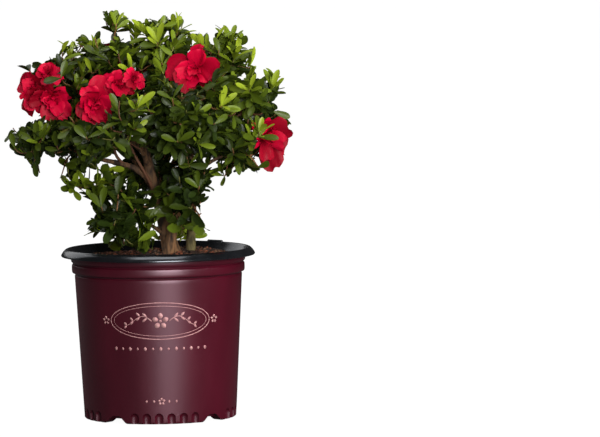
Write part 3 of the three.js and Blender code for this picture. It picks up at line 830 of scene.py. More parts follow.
def soil_finish():
    finish = new_finish("potting_mix", color_of(44, 30, 22), 0.95)
    crumbs = add_mottle(
        finish, 260.0, (1, 1, 1), 0.35, 0.65, dark=color_of(26, 18, 14), light=color_of(78, 52, 36)
    )
    add_relief(finish, crumbs, 2.0)
    return finish


soil_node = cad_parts["soil"]
POTTING_MIX = soil_finish()
soil_node.data.materials.clear()
soil_node.data.materials.append(POTTING_MIX)
mound = mesh_object("soil_mound", *mound_arrays())
place_piece(mound, "soil_mound", [POTTING_MIX])

# %% [markdown]
# Loose chips of bark lie on the mound, flat or a little tilted, and are heaped up towards the wall.
# One chip is modelled from a cube, and its copies are scattered by arrays.

# %% Bark chips
CHIP_COUNT = 1900
CHIP_TINTS = [(46, 30, 22), (74, 44, 30), (112, 62, 40), (34, 24, 18), (92, 66, 48)]
CHIP_SHARES = [0.34, 0.26, 0.14, 0.16, 0.1]
CHIP_SIZES = [(3, 11), (2, 5), (0.8, 2.6)]
CHIP_TILT = 0.28
CHIP_SEED = 7


def chip_finish(tint):
    finish = new_finish("bark_chip", color_of(*tint), 0.9)
    add_relief(finish, add_mottle(finish, 500.0, (1, 3, 1)), 0.5)
    return finish


def chip_model():
    """One chip: a cube with a bevelled, skewed top, as points and faces of unit size."""
    deselect_all()
    bpy.ops.mesh.primitive_cube_add(size=MM)
    chip = bpy.context.object
    select_points(chip, lambda point: point.z > 0)
    bpy.ops.transform.resize(value=(0.7, 0.55, 1.0))
    select_points(chip, lambda point: point.x > 0 and point.z > 0)
    bpy.ops.transform.translate(value=(-0.12 * MM, 0.1 * MM, -0.25 * MM))
    bpy.ops.mesh.select_all(action="SELECT")
    bpy.ops.mesh.bevel(offset=0.08 * MM, segments=1)
    bpy.ops.mesh.quads_convert_to_tris()
    bpy.ops.object.mode_set(mode="OBJECT")
    points = np.array([point.co for point in chip.data.vertices]) / MM
    faces = np.array([list(face.vertices) for face in chip.data.polygons])
    bpy.data.objects.remove(chip)
    return points, faces


def turned_frames(turns, tilts, spins):
    """Turning matrices, one a row, from three angles."""
    zeros, ones = np.zeros_like(turns), np.ones_like(turns)
    about_z = np.array([[np.cos(turns), -np.sin(turns), zeros], [np.sin(turns), np.cos(turns), zeros],
                        [zeros, zeros, ones]]).transpose(2, 0, 1)
    about_x = np.array([[ones, zeros, zeros], [zeros, np.cos(tilts), -np.sin(tilts)],
                        [zeros, np.sin(tilts), np.cos(tilts)]]).transpose(2, 0, 1)
    about_y = np.array([[np.cos(spins), zeros, np.sin(spins)], [zeros, ones, zeros],
                        [-np.sin(spins), zeros, np.cos(spins)]]).transpose(2, 0, 1)
    return about_z @ about_x @ about_y


def scatter_chips():
    rng = np.random.default_rng(CHIP_SEED)
    points, faces = chip_model()
    radius = MOUND_RADIUS * np.sqrt(rng.random(CHIP_COUNT))
    turn = rng.random(CHIP_COUNT) * 2 * math.pi
    size = np.stack([rng.uniform(*span, CHIP_COUNT) for span in CHIP_SIZES], axis=1)
    x, y = radius * np.cos(turn), radius * np.sin(turn)
    heap = rng.uniform(0, 1.8, CHIP_COUNT) + 1.2 * (radius / MOUND_RADIUS) ** 4 + mound_rise(x, y)
    place = np.stack([x, y, SOIL_TOP + heap], axis=1)
    frames = turned_frames(rng.random(CHIP_COUNT) * 6.3, rng.normal(0, CHIP_TILT, CHIP_COUNT),
                           rng.normal(0, CHIP_TILT, CHIP_COUNT))
    spread = np.einsum("nij,nkj->nki", frames, points[None] * size[:, None]) + place[:, None]
    every = faces[None] + np.arange(CHIP_COUNT)[:, None, None] * len(points)
    tints = rng.choice(len(CHIP_TINTS), CHIP_COUNT, p=CHIP_SHARES)
    return spread.reshape(-1, 3), every.reshape(-1, 3), np.repeat(tints, len(faces))


chip_points, chip_faces, chip_kinds = scatter_chips()
chips = mesh_object("soil_chips", chip_points, chip_faces)
place_piece(chips, "soil_chips", [chip_finish(tint) for tint in CHIP_TINTS], kinds=chip_kinds)

# %% [markdown]
# ## The limbs
# Each limb of the model is a tapering tube through a few points. The same smooth curve runs through
# the same points here. A limb's row gives its radius at the foot and at the tip, how much its foot
# flares, and its path.

# %% Limb table and smooth paths
LIMBS = {
    "trunk": (8.5, 4.2, 4.5,
              [[17, 6, 160], [9, 6, 194], [1, 5, 228], [-8, 2, 262], [-14, 2, 292]]),
    "stem_front": (5.6, 3.3, 3,
                   [[8, -4, 160], [14, -8, 188], [21, -8, 216], [28, -4, 248], [40, 2, 288]]),
    "stem_right": (5.6, 2.6, 1.5, [[34, 8, 160], [35, 11, 196], [38, 20, 228], [44, 34, 262]]),
    "bough_far_left": (3.4, 1.9, 1, [[-5, 3, 246], [-24, -4, 262], [-52, -9, 270], [-80, -9, 276]]),
    "bough_upper_left": (3.6, 1.9, 1, [[-11, 2, 276], [-34, 6, 297], [-56, 8, 312], [-74, 8, 326]]),
    "bough_top_left": (3.6, 1.9, 0, [[-14, 2, 288], [-22, 5, 312], [-33, 8, 335], [-39, 10, 356]]),
    "bough_top": (3.3, 1.9, 0.5, [[-12, 1, 284], [-4, -2, 308], [2, -1, 332], [5, 2, 356]]),
    "bough_top_right": (3.3, 1.9, 0, [[39, 2, 284], [46, 1, 306], [53, 3, 326], [58, 6, 346]]),
    "bough_right": (3.2, 1.8, 0.8, [[36, 0, 276], [54, 6, 292], [72, 10, 304], [86, 12, 314]]),
    "bough_low_right": (3.1, 1.8, 0.8, [[27, -4, 244], [42, -9, 258], [58, -11, 268], [74, -9, 276]]),
    "bough_front_left": (3.2, 1.8, 0.8,
                         [[-8, 2, 264], [-16, -22, 282], [-28, -42, 298], [-38, -56, 310]]),
    "bough_front_right": (3.2, 1.8, 0.8,
                          [[30, -3, 256], [29, -24, 276], [28, -44, 292], [28, -60, 304]]),
    "bough_back_left": (3.4, 1.8, 0.8, [[2, 5, 226], [-14, 28, 252], [-32, 48, 276], [-48, 62, 298]]),
    "bough_back_right": (2.6, 1.8, 0, [[43, 33, 258], [48, 46, 278], [52, 58, 296], [54, 68, 312]]),
    "bough_back": (3.0, 1.8, 0.6, [[5, 6, 212], [6, 24, 226], [4, 42, 238], [2, 56, 250]]),
    "shoot_low_left": (2.3, 1.5, 0.5, [[7, 4, 190], [-3, -6, 199], [-13, -13, 206], [-23, -18, 212]]),
    "shoot_low_right": (2.2, 1.5, 0.5, [[35, 10, 192], [36, 0, 204], [35, -8, 214], [34, -14, 224]]),
}
OLIVE_LIMBS = ["stem_right", "bough_back_right", "shoot_low_right"]


def spaced(points, count):
    """Evenly spaced points along a chain of points."""
    points = np.asarray(points, dtype=float)
    steps = np.linalg.norm(np.diff(points, axis=0), axis=1)
    reach = np.concatenate([[0], np.cumsum(steps)])
    wanted = np.linspace(0, reach[-1], count)
    return np.stack([np.interp(wanted, reach, points[:, k]) for k in range(3)], axis=1)


def smooth_path(path, fine=24):
    """The centripetal Catmull-Rom curve through a path, as a fine chain of points."""
    path = np.asarray(path, dtype=float)
    path = np.concatenate([[2 * path[0] - path[1]], path, [2 * path[-1] - path[-2]]])
    chain = []
    for a, b, c, d in zip(path, path[1:], path[2:], path[3:]):
        ab, bc, cd = (math.sqrt(math.dist(p, q)) for p, q in ((a, b), (b, c), (c, d)))
        leave = bc * ((b - a) / ab - (c - a) / (ab + bc) + (c - b) / bc)
        arrive = bc * ((c - b) / bc - (d - b) / (bc + cd) + (d - c) / cd)
        for t in np.linspace(0, 1, fine, endpoint=False):
            curve = (2 * t**3 - 3 * t**2 + 1) * b + (t**3 - 2 * t**2 + t) * leave
            chain.append(curve + (3 * t**2 - 2 * t**3) * c + (t**3 - t**2) * arrive)
    chain.append(path[-2])
    return np.array(chain)


def limb_radius(limb, share):
    foot, tip, flare, _ = LIMBS[limb]
    return foot + (tip - foot) * share + flare * np.exp(-9 * share)


print("limbs:", len(LIMBS), "and of them olive:", len(OLIVE_LIMBS))

# %% [markdown]
# The path of a limb is wrapped by Blender's own curve bevel with a radius at each point, so a fork is
# only a matter of laying two curves into each other. A voxel remesh then melts them together, and
# displacement raises the bark's ridges. Old wood is brown, and the younger stems are olive green.

# %% Wrap limbs in bark and melt the forks
ROOT_TURNS = [15, 95, 160, 230, 300]
ROOT_SPREAD = 9.0
ROOT_START = (11.0, 6.0, 186.0)
ROOT_MIDDLE = (16.5, 6.0, SOIL_TOP - 3)
ROOT_RADII = (2.2, 4.4)
ROOT_STEPS = 10
LIMB_STEPS = 28
VOXEL = 0.75
RIDGE_DEPTH = 1.1
RIDGE_SIZE = 5.5
GRAIN_DEPTH = 0.45
GRAIN_SIZE = 1.6


def add_limb(curve, points, radii):
    spline = curve.splines.new("POLY")
    spline.points.add(len(points) - 1)
    for knot, place, radius in zip(spline.points, points, radii):
        knot.co = (*(place * MM), 1.0)
        knot.radius = radius


def limb_curve(names):
    curve = bpy.data.curves.new("limbs", "CURVE")
    curve.dimensions = "3D"
    curve.bevel_depth = MM
    curve.bevel_resolution = 4
    curve.use_fill_caps = True
    for name in names:
        points = spaced(smooth_path(LIMBS[name][3]), LIMB_STEPS)
        add_limb(curve, points, limb_radius(name, np.linspace(0, 1, LIMB_STEPS)))
    return curve


def add_root_flare(curve):
    """Low ridges where the main roots leave the trunk's foot."""
    foot = np.array(ROOT_MIDDLE)
    for turn in ROOT_TURNS:
        out = np.array([math.cos(math.radians(turn)), math.sin(math.radians(turn)), 0])
        knee = foot + out * 0.45 * ROOT_SPREAD + [0, 0, 9]
        path = [ROOT_START, knee, foot + out * ROOT_SPREAD]
        add_limb(curve, spaced(smooth_path(path), ROOT_STEPS), np.linspace(*ROOT_RADII, ROOT_STEPS))


def raise_relief(obj, size, depth, lengthen):
    """Displaces along the normals with soft noise, drawn out along the height."""
    helper = bpy.data.objects.new("relief_space", None)
    helper.scale = (1, 1, lengthen)
    bpy.context.scene.collection.objects.link(helper)
    bpy.context.view_layer.update()
    noise = bpy.data.textures.new("bark_noise", "CLOUDS")
    noise.noise_scale = size * MM
    noise.noise_depth = 3
    apply_modifier(obj, "DISPLACE", texture=noise, texture_coords="OBJECT",
                   texture_coords_object=helper, strength=depth * MM, mid_level=0.5)
    bpy.data.objects.remove(helper)
    bpy.data.textures.remove(noise)


def barked(name, limb_names, relief, with_roots=False):
    curve = limb_curve(limb_names)
    if with_roots:
        add_root_flare(curve)
    obj = bpy.data.objects.new(name, curve)
    bpy.context.scene.collection.objects.link(obj)
    select_only(obj)
    bpy.ops.object.convert(target="MESH")
    obj = bpy.context.object
    apply_modifier(obj, "REMESH", mode="VOXEL", voxel_size=VOXEL * MM)
    apply_modifier(obj, "SMOOTH", factor=0.5, iterations=4)
    raise_relief(obj, RIDGE_SIZE, RIDGE_DEPTH * relief, 4.0)
    raise_relief(obj, GRAIN_SIZE, GRAIN_DEPTH * relief, 2.5)
    obj.data.shade_smooth()
    return obj


# %% Bark finishes and pieces
def bark_finish(name, dark, light, ridge):
    finish = new_finish(name, color_of(*light), 0.85)
    flakes = add_mottle(
        finish, 240.0, (1, 1, 0.3), 0.38, 0.62, dark=color_of(*dark), light=color_of(*light)
    )
    add_relief(finish, flakes, ridge)
    return finish


BROWN_BARK = bark_finish("brown_bark", (40, 27, 17), (114, 82, 53), 0.9)
OLIVE_BARK = bark_finish("olive_bark", (56, 49, 28), (98, 88, 54), 0.5)
brown_limbs = [name for name in LIMBS if name not in OLIVE_LIMBS]
brown = barked("bark_brown", brown_limbs, 1.0, with_roots=True)
place_piece(brown, "bark_brown", [BROWN_BARK], brown_limbs)
olive = barked("bark_olive", OLIVE_LIMBS, 0.5)
place_piece(olive, "bark_olive", [OLIVE_BARK], OLIVE_LIMBS)

# %% [markdown]
# ## How the crown grows
# The crown is divided among masses. Each keeps to an egg round its heart, cut by the planes that
# part it from its neighbours. A mass's row names its bough, its heart and reach, the tips of its
# leading shoots, and each flower by its place, the way it faces and its width.

# %% Table of masses
MASSES = [
    {"name": "foliage_far_left", "on": "bough_far_left", "seed": 717, "shoots": 7,
     "heart": [-106, -6, 284], "reach": [59, 52, 45],
     "leaders": [[-136, -4, 290], [-104, -10, 262], [-86, -12, 250], [-124, -8, 308]], "blooms": []},
    {"name": "foliage_upper_left", "on": "bough_upper_left", "seed": 9317, "shoots": 7,
     "heart": [-98, 6, 348], "reach": [54, 56, 49],
     "leaders": [[-88, 6, 383], [-128, 16, 362], [-112, 6, 322]],
     "blooms": [([-126, -6, 348], [-0.55, -0.8, 0.2], 43), ([-106, -26, 338], [0.05, -0.95, -0.1], 35)]},
    {"name": "foliage_top_left", "on": "bough_top_left", "seed": 9018, "shoots": 8,
     "heart": [-43, 8, 377], "reach": [44, 57, 61],
     "leaders": [[-45, 0, 412], [-62, 6, 384], [-28, 12, 402], [-52, 2, 396]],
     "blooms": [([-46, 60, 376], [-0.1, 0.8, 0.55], 42)]},
    {"name": "foliage_top", "on": "bough_top", "seed": 1619, "shoots": 9,
     "heart": [8, 4, 373], "reach": [41, 58, 58],
     "leaders": [[-10, 2, 402], [6, -4, 394], [20, 2, 403], [8, -30, 372]],
     "blooms": [([8, 68, 370], [0.2, 0.85, 0.45], 46)]},
    {"name": "foliage_top_right", "on": "bough_top_right", "seed": 5418, "shoots": 8,
     "heart": [62, 8, 361], "reach": [44, 56, 50],
     "leaders": [[74, 2, 388], [60, 8, 392], [90, 0, 372], [44, 0, 384]], "blooms": []},
    {"name": "foliage_right", "on": "bough_right", "seed": 9517, "shoots": 7,
     "heart": [100, 14, 326], "reach": [46, 57, 42],
     "leaders": [[121, 2, 341], [112, 0, 318], [96, 4, 350], [128, 30, 326]],
     "blooms": [([96, 62, 316], [0.45, 0.86, 0.2], 40)]},
    {"name": "foliage_low_right", "on": "bough_low_right", "seed": 6517, "shoots": 7,
     "heart": [92, -6, 283], "reach": [54, 54, 37],
     "leaders": [[98, -4, 268], [78, -8, 260], [118, 10, 280]],
     "blooms": [([117, -14, 294], [0.45, -0.88, -0.05], 45)]},
    {"name": "foliage_front_left", "on": "bough_front_left", "seed": 4618, "shoots": 8,
     "heart": [-48, -64, 322], "reach": [56, 54, 54],
     "leaders": [[-76, -60, 300], [-24, -76, 300], [-30, -84, 336]],
     "blooms": [([-62, -58, 334], [-0.1, -0.97, 0.1], 41), ([-37, -54, 352], [0.1, -0.95, 0.2], 31)]},
    {"name": "foliage_front_right", "on": "bough_front_right", "seed": 2119, "shoots": 8,
     "heart": [34, -63, 328], "reach": [56, 56, 65],
     "leaders": [[66, -64, 344], [16, -84, 340], [52, -76, 290], [6, -76, 308]],
     "blooms": [([42, -54, 367], [-0.25, -0.92, 0.1], 46)]},
    {"name": "foliage_back_left", "on": "bough_back_left", "seed": 5719, "shoots": 8,
     "heart": [-60, 72, 322], "reach": [56, 56, 60],
     "leaders": [[-96, 82, 300], [-40, 104, 310]],
     "blooms": [([-66, 112, 330], [-0.2, 0.95, 0.1], 46)]},
    {"name": "foliage_back_right", "on": "bough_back_right", "seed": 1319, "shoots": 9,
     "heart": [58, 76, 322], "reach": [54, 54, 60],
     "leaders": [[92, 84, 304], [30, 104, 316]],
     "blooms": [([50, 116, 338], [0.15, 0.95, 0.2], 46)]},
    {"name": "foliage_back", "on": "bough_back", "seed": 1116, "shoots": 6,
     "heart": [0, 72, 270], "reach": [56, 50, 44], "leaders": [[-30, 84, 250], [30, 88, 254]],
     "blooms": []},
    {"name": "foliage_low_left", "on": "shoot_low_left", "seed": 2815, "shoots": 5,
     "heart": [-46, -27, 222], "reach": [40, 42, 34],
     "leaders": [[-24, -30, 226], [-58, -26, 206], [-50, -30, 234]], "blooms": []},
    {"name": "foliage_low_right_inner", "on": "shoot_low_right", "seed": 4516, "shoots": 6,
     "heart": [38, -20, 238], "reach": [38, 42, 36],
     "leaders": [[46, -20, 214], [52, -20, 236], [24, -30, 246]], "blooms": []},
]
HEARTS = np.array([mass["heart"] for mass in MASSES], dtype=float)
WEIGHTS = np.array([(sum(mass["reach"]) / 3) ** 2 for mass in MASSES])
print("masses of foliage:", len(MASSES))


# %% Space of a mass, and distance to the bark
def depth_in_space(number, points):
    """How far points lie inside a mass's egg and on its side of the parting planes."""
    reach = np.array(MASSES[number]["reach"], dtype=float)
    egg = (1 - np.linalg.norm((points - HEARTS[number]) / reach, axis=1)) * reach.min()
    power = ((points[:, None] - HEARTS[None]) ** 2).sum(2) - WEIGHTS
    apart = np.linalg.norm(HEARTS - HEARTS[number], axis=1)
    others = np.arange(len(MASSES)) != number
    beyond = power[:, others] - power[:, [number]]
    return np.minimum(egg, (beyond / (2 * apart[others])).min(1))


def bark_stretches(steps=6):
    starts, ends, radii = [], [], []
    for name, limb in LIMBS.items():
        points = spaced(smooth_path(limb[3]), steps + 1)
        starts.append(points[:-1])
        ends.append(points[1:])
        radii.append(limb_radius(name, np.arange(steps) / steps))
    return np.concatenate(starts), np.concatenate(ends), np.concatenate(radii)


STRETCH_STARTS, STRETCH_ENDS, STRETCH_RADII = bark_stretches()
STRETCH_WAYS = STRETCH_ENDS - STRETCH_STARTS
print("stretches of bark:", len(STRETCH_WAYS))


def distance_to_bark(points):
    away = points[:, None] - STRETCH_STARTS[None]
    share = (away * STRETCH_WAYS).sum(2) / (STRETCH_WAYS**2).sum(1)
    nearest = np.clip(share, 0, 1)[..., None] * STRETCH_WAYS
    return (np.linalg.norm(away - nearest, axis=2) - STRETCH_RADII).min(1)


# %% Seeded chance and curved ways
GOLDEN_ANGLE = math.pi * (3 - math.sqrt(5))
UP = np.array([0.0, 0.0, 1.0])


def seeded_random(seed):
    """The same small number generator as the model's, from 0 up to 1."""
    state = seed

    def times(a, b):
        return (a * b) & 0xFFFFFFFF

    def draw():
        nonlocal state
        state = (state + 0x6D2B79F5) & 0xFFFFFFFF
        mixed = times(state ^ (state >> 15), state | 1)
        mixed = ((mixed + times(mixed ^ (mixed >> 7), mixed | 61)) & 0xFFFFFFFF) ^ mixed
        return (mixed ^ (mixed >> 14)) / 4294967296

    return draw


def unit(vector):
    vector = np.asarray(vector, dtype=float)
    return vector / np.linalg.norm(vector)


def bezier(controls, count=24):
    shares = np.linspace(0, 1, count)[:, None]
    layer = [np.asarray(point, dtype=float)[None] for point in controls]
    while len(layer) > 1:
        layer = [a + (b - a) * shares for a, b in zip(layer, layer[1:])]
    return layer[0]


def along(points, share):
    """The place and heading at a share of a chain of evenly spaced points."""
    stretches = len(points) - 1
    step = min(int(share * stretches), stretches - 1)
    way = points[step + 1] - points[step]
    return points[step] + way * (share * stretches - step), unit(way)


def cross_directions(axis):
    helper = UP if abs(axis[2]) < 0.9 else np.array([1.0, 0.0, 0.0])
    across = unit(np.cross(axis, helper))
    return across, np.cross(axis, across)


def leaning(axis, turn, tilt):
    across, over = cross_directions(axis)
    side = across * math.cos(turn) + over * math.sin(turn)
    return axis * math.cos(tilt) + side * math.sin(tilt)


# %% [markdown]
# ## What the picture shows of the crown
# A rule alone would close every gap and bury the trunk. So these lists say what was seen in the
# picture, and the rule keeps to them. Each disc, a place and a radius in pixels, marks where the sky
# shows past or through the crown, or where a limb is open to view. Shoots that stand out are listed by
# the place of their tip, and so are three small blooms beside the large flowers.

# %% Sky, limbs, shoots and blooms that show
OPEN_SKY = [
    (120, -2, 10), (107, -1, 7), (99, 2, 6), (146, 5, 6), (160, 7, 6), (171, 8, 6), (131, 9, 6),
    (138, 9, 6), (88, 12, 15), (192, 12, 10), (213, 13, 11), (229, 14, 11), (140, 15, 4),
    (155, 16, 3), (243, 18, 9), (72, 22, 14), (201, 22, 7), (98, 25, 4), (91, 31, 6), (211, 31, 4),
    (80, 32, 3), (104, 33, 6), (122, 33, 4), (254, 33, 6), (166, 36, 5), (22, 38, 13), (89, 38, 3),
    (110, 38, 4), (259, 38, 7), (127, 39, 4), (212, 40, 4), (40, 41, 13), (247, 42, 3),
    (107, 44, 3), (58, 45, 5), (12, 50, 8), (51, 50, 6), (262, 50, 6), (44, 54, 5), (36, 56, 5),
    (66, 56, 3), (263, 60, 6), (40, 62, 3), (260, 65, 4), (13, 71, 3), (262, 74, 5), (242, 75, 4),
    (6, 76, 8), (267, 80, 3), (294, 80, 7), (296, 90, 9), (282, 98, 3), (289, 98, 9), (279, 99, 6),
    (13, 100, 9), (286, 104, 8), (296, 107, 9), (12, 111, 8), (30, 112, 6), (33, 115, 5),
    (21, 120, 4), (4, 121, 8), (166, 127, 3), (4, 131, 5), (1, 141, 4), (8, 151, 6), (139, 154, 3),
    (113, 156, 4), (121, 156, 4), (171, 156, 4), (50, 157, 4), (68, 157, 4), (296, 158, 7),
    (47, 160, 8), (260, 161, 5), (213, 162, 3), (25, 163, 6), (12, 165, 13), (174, 165, 3),
    (58, 166, 6), (267, 169, 4), (48, 170, 6), (288, 172, 7), (232, 173, 3), (60, 174, 4),
    (241, 174, 3), (94, 175, 4), (22, 176, 11), (50, 176, 8), (264, 176, 6), (254, 177, 5),
    (233, 178, 4), (54, 181, 7), (214, 181, 5), (234, 182, 4), (33, 183, 6), (58, 186, 5),
    (272, 186, 11), (44, 188, 12), (250, 188, 13), (214, 193, 5), (65, 195, 4), (206, 195, 5),
    (62, 196, 7), (240, 197, 12), (87, 200, 5), (211, 200, 3), (111, 202, 5), (222, 205, 11),
    (66, 206, 8), (85, 207, 5), (209, 208, 4), (76, 210, 8), (206, 210, 5), (90, 214, 4),
    (97, 216, 3), (82, 218, 8), (207, 219, 3), (225, 219, 12), (80, 221, 6), (202, 221, 4),
    (212, 221, 3), (165, 224, 2), (79, 229, 6), (165, 232, 2), (78, 237, 4), (103, 237, 5),
    (216, 238, 9), (84, 240, 5), (95, 240, 5), (202, 240, 4), (189, 246, 3),
]
LIMB_VIEW = [
    (119, 131, 3), (129, 137, 4), (116, 141, 3), (138, 145, 4), (133, 150, 3), (118, 151, 3),
    (146, 151, 3), (98, 158, 3), (147, 158, 4), (110, 160, 4), (139, 161, 3), (123, 163, 4),
    (136, 168, 4), (144, 172, 3), (153, 180, 4), (164, 219, 5), (167, 229, 7), (192, 232, 4),
    (171, 240, 8), (192, 244, 5), (178, 249, 8),
]
MORE_LEADERS = {
    "foliage_far_left": [[-133, -20, 276], [-100, -30, 254], [-78, -20, 244], [-118, -34, 296],
                         [-62, -24, 258], [-52, -12, 262], [-71, -26, 246], [-86, -22, 242],
                         [-60, -30, 248]],
    "foliage_upper_left": [[-96, -16, 386], [-76, 10, 392], [-64, 0, 380], [-132, 22, 365]],
    "foliage_top_left": [[-54, -8, 411], [-36, -8, 416], [-58, -20, 384], [-20, 6, 406]],
    "foliage_top": [[19, 2, 409], [25, -6, 404], [-8, -14, 402], [4, -34, 394]],
    "foliage_top_right": [[50, -10, 388], [64, -12, 396], [92, -4, 394], [80, -8, 394],
                          [84, -20, 378], [100, 4, 366]],
    "foliage_right": [[122, -6, 342], [128, -4, 333], [114, -24, 318], [98, -28, 344]],
    "foliage_low_right": [[92, -34, 262], [110, -24, 262], [70, -30, 254], [100, -40, 292],
                          [108, -52, 300]],
    "foliage_front_left": [[-58, -100, 318], [-16, -100, 330], [-84, -84, 312], [-40, -104, 300]],
    "foliage_front_right": [[20, -104, 316], [44, -104, 322], [70, -90, 330], [60, -84, 352]],
    "foliage_low_left": [[-20, -25, 216], [-4, -34, 226], [-12, -34, 200], [-32, -40, 192],
                         [-54, -34, 198], [-66, -30, 200], [-44, -46, 206], [-22, -44, 186],
                         [-2, -38, 190], [-50, -24, 250], [-38, -26, 244], [-60, -20, 240],
                         [-52, -22, 186], [-34, -26, 184], [-10, -24, 196], [-14, -30, 187]],
    "foliage_low_right_inner": [[14, -34, 214], [28, -34, 200], [10, -34, 238], [44, -28, 206],
                                [34, -44, 222], [50, -30, 196], [22, 22, 197], [25, 17, 209],
                                [47, 4, 198], [20, 30, 188], [27, 28, 190], [24, 34, 186]],
}
ALL_LEADERS = [leader for leaders in MORE_LEADERS.values() for leader in leaders]
FRONT_SHOOTS = [[108, -52, 300]]
# Painted shade: the spray at this tip gets the darkest tints, and with them the size and spread of old
# leaves.
SHADED_SHOOTS = [[-132, 22, 365]]
EXTRA_BLOOMS = [([-120, -18, 338], [-0.2, -0.9, -0.3], 26), ([-111, -20, 364], [-0.1, -0.7, 0.7], 24),
                ([-20, -56, 359], [0.4, -0.8, 0.3], 18)]
ALL_BLOOMS = [bloom for mass in MASSES for bloom in mass["blooms"]] + EXTRA_BLOOMS
print("discs of sky:", len(OPEN_SKY), "listed shoots:", len(ALL_LEADERS), "blooms:", len(ALL_BLOOMS))

# %% Tests of a place against the picture
BEFORE_LIMBS = 4.0
BLOOM_DEPTH = 0.3
BLOOM_VIEW = 70.0
BLOOM_ROOM = 0.56


def to_pixels(points):
    """Where points in millimetres fall in the picture."""
    level = points[:, 2] * math.cos(ELEVATION) + points[:, 1] * math.sin(ELEVATION)
    right = points[:, 0] / MM_PER_PIXEL
    down = -level / MM_PER_PIXEL
    turned_right = right * math.cos(ROLL) + down * math.sin(ROLL)
    turned_down = down * math.cos(ROLL) - right * math.sin(ROLL)
    return np.stack([turned_right, turned_down], axis=1) + POT_FOOT_PIXEL


def in_discs(points, discs, margin=0.0):
    """Which points cover which of some discs in the picture, each made smaller by a margin."""
    discs = np.array(discs, dtype=float)
    away = np.linalg.norm(to_pixels(points)[:, None] - discs[None, :, :2], axis=2)
    return away < discs[:, 2] - margin


def in_open_sky(points, margin=0.0):
    """Which points cover a place where the picture shows the sky."""
    return in_discs(points, OPEN_SKY, margin).any(1)


def hides_limb(points):
    """True if anything at these points would stand in front of a limb that the picture shows."""
    return bool((in_discs(points, LIMB_VIEW) & (points[:, [1]] < BEFORE_LIMBS)).any())


def bloom_foot(bloom):
    at, facing, wide = bloom
    return np.array(at) - BLOOM_DEPTH * wide * unit(facing)


def hides_bloom(points):
    """True if anything at these points would stand in front of a bloom."""
    for bloom in ALL_BLOOMS:
        _, facing, wide = bloom
        away = points - bloom_foot(bloom)
        ahead = away @ unit(facing)
        aside = np.linalg.norm(away - np.outer(ahead, unit(facing)), axis=1)
        if ((ahead > -0.05 * wide) & (ahead < BLOOM_VIEW) & (aside < BLOOM_ROOM * wide)).any():
            return True
    return False


def is_listed(tip, places):
    """True if a tip is one of the listed places."""
    return any(math.dist(tip, place) < 1e-6 for place in places)


# %% [markdown]
# ## How the twigs grow
# In each mass, a stem runs on from its bough to the heart. Then one twig after another grows to a
# shoot tip, from the joint that lies nearest and most nearly behind it. The first twigs are those of
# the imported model, from the same seeds. The listed shoots and finer twigs follow. A twig that would
# cross bark, leave its mass or stand in the open sky is left out.

# %% Shoot tips of one mass
TIP_INSET = 10.0
FIRST_ROOM = 17.0
OUTER_ROOM = 21.0
OUTER_INSET = (3.0, 9.0)
OUTER_SHARE = (0.8, 1.0)
OUTER_TRIES = 260
FINE_ROOM = 9.6
FINE_INSET = 15.0
FINE_TRIES = 1400
FINE_SHARE = 0.3
TIP_OFF_BARK = 3.0
TIP_OFF_SKY = 3.0
FILLER_SHARE, FILLER_MORE = 0.6, 0.25
PULL_TRIES, PULL_SHARE = 6, 0.15


def first_tips(number, draw):
    """The model's own shoot tips: blooms, leaders, then fillers spread evenly round the egg."""
    mass = MASSES[number]
    tips = [(bloom_foot(bloom), bloom) for bloom in mass["blooms"]]
    tips += [(np.array(leader, dtype=float), None) for leader in mass["leaders"]]
    phase = draw() * 2 * math.pi
    for k in range(mass["shoots"]):
        height = 1 - (2 * k + 1) / mass["shoots"]
        flat = math.sqrt(1 - height * height)
        turn = phase + k * GOLDEN_ANGLE
        share = FILLER_SHARE + FILLER_MORE * draw()
        way = np.array([flat * math.cos(turn), flat * math.sin(turn), height])
        place = HEARTS[number] + way * mass["reach"] * share
        for _ in range(PULL_TRIES):
            if depth_in_space(number, place[None])[0] >= TIP_INSET:
                break
            place += (HEARTS[number] - place) * PULL_SHARE
        if all(math.dist(place, tip) > FIRST_ROOM for tip, _ in tips):
            tips.append((place, None))
    return tips


def scattered(places, taken, room):
    """Keeps those places, in turn, that have room among the ones kept before."""
    kept = list(taken)
    for place in places:
        if not kept or min(math.dist(place, other) for other in kept) > room:
            kept.append(place)
    return kept[len(taken):]


def fine_tips(number, taken):
    """More shoot tips: few close to the edge of the space, and many deeper inside it."""
    mass = MASSES[number]
    rng = np.random.default_rng(mass["seed"])
    ways = rng.normal(size=(OUTER_TRIES + FINE_TRIES, 3))
    ways /= np.linalg.norm(ways, axis=1)[:, None]
    shares = FINE_SHARE + (1 - FINE_SHARE) * rng.random(len(ways)) ** 0.6
    shares[:OUTER_TRIES] = rng.uniform(*OUTER_SHARE, OUTER_TRIES)
    places = HEARTS[number] + ways * shares[:, None] * mass["reach"]
    depths = depth_in_space(number, places)
    free = (distance_to_bark(places) > TIP_OFF_BARK) & ~in_open_sky(places, -TIP_OFF_SKY)
    low, high = OUTER_INSET
    outer = places[(depths > low) & (depths < high) & free]
    inner = places[(depths > FINE_INSET) & free]
    more = [np.array(place, dtype=float) for place in MORE_LEADERS.get(mass["name"], [])]
    more += scattered(outer, [*taken, *more], OUTER_ROOM)
    return more + scattered(inner, [*taken, *more], FINE_ROOM)


# %% One twig, from a joint to its tip
JOINT_TRIES = 4
TURN_COST = 1.7
LEAST_SPAN = 6.0
HIDDEN_POINTS = 6
SEATED_POINTS = 2
TWIG_SEAT, TWIG_SETOUT, TWIG_ARRIVAL = 0.6, 0.3, 0.35
TIP_LEAN = 0.5


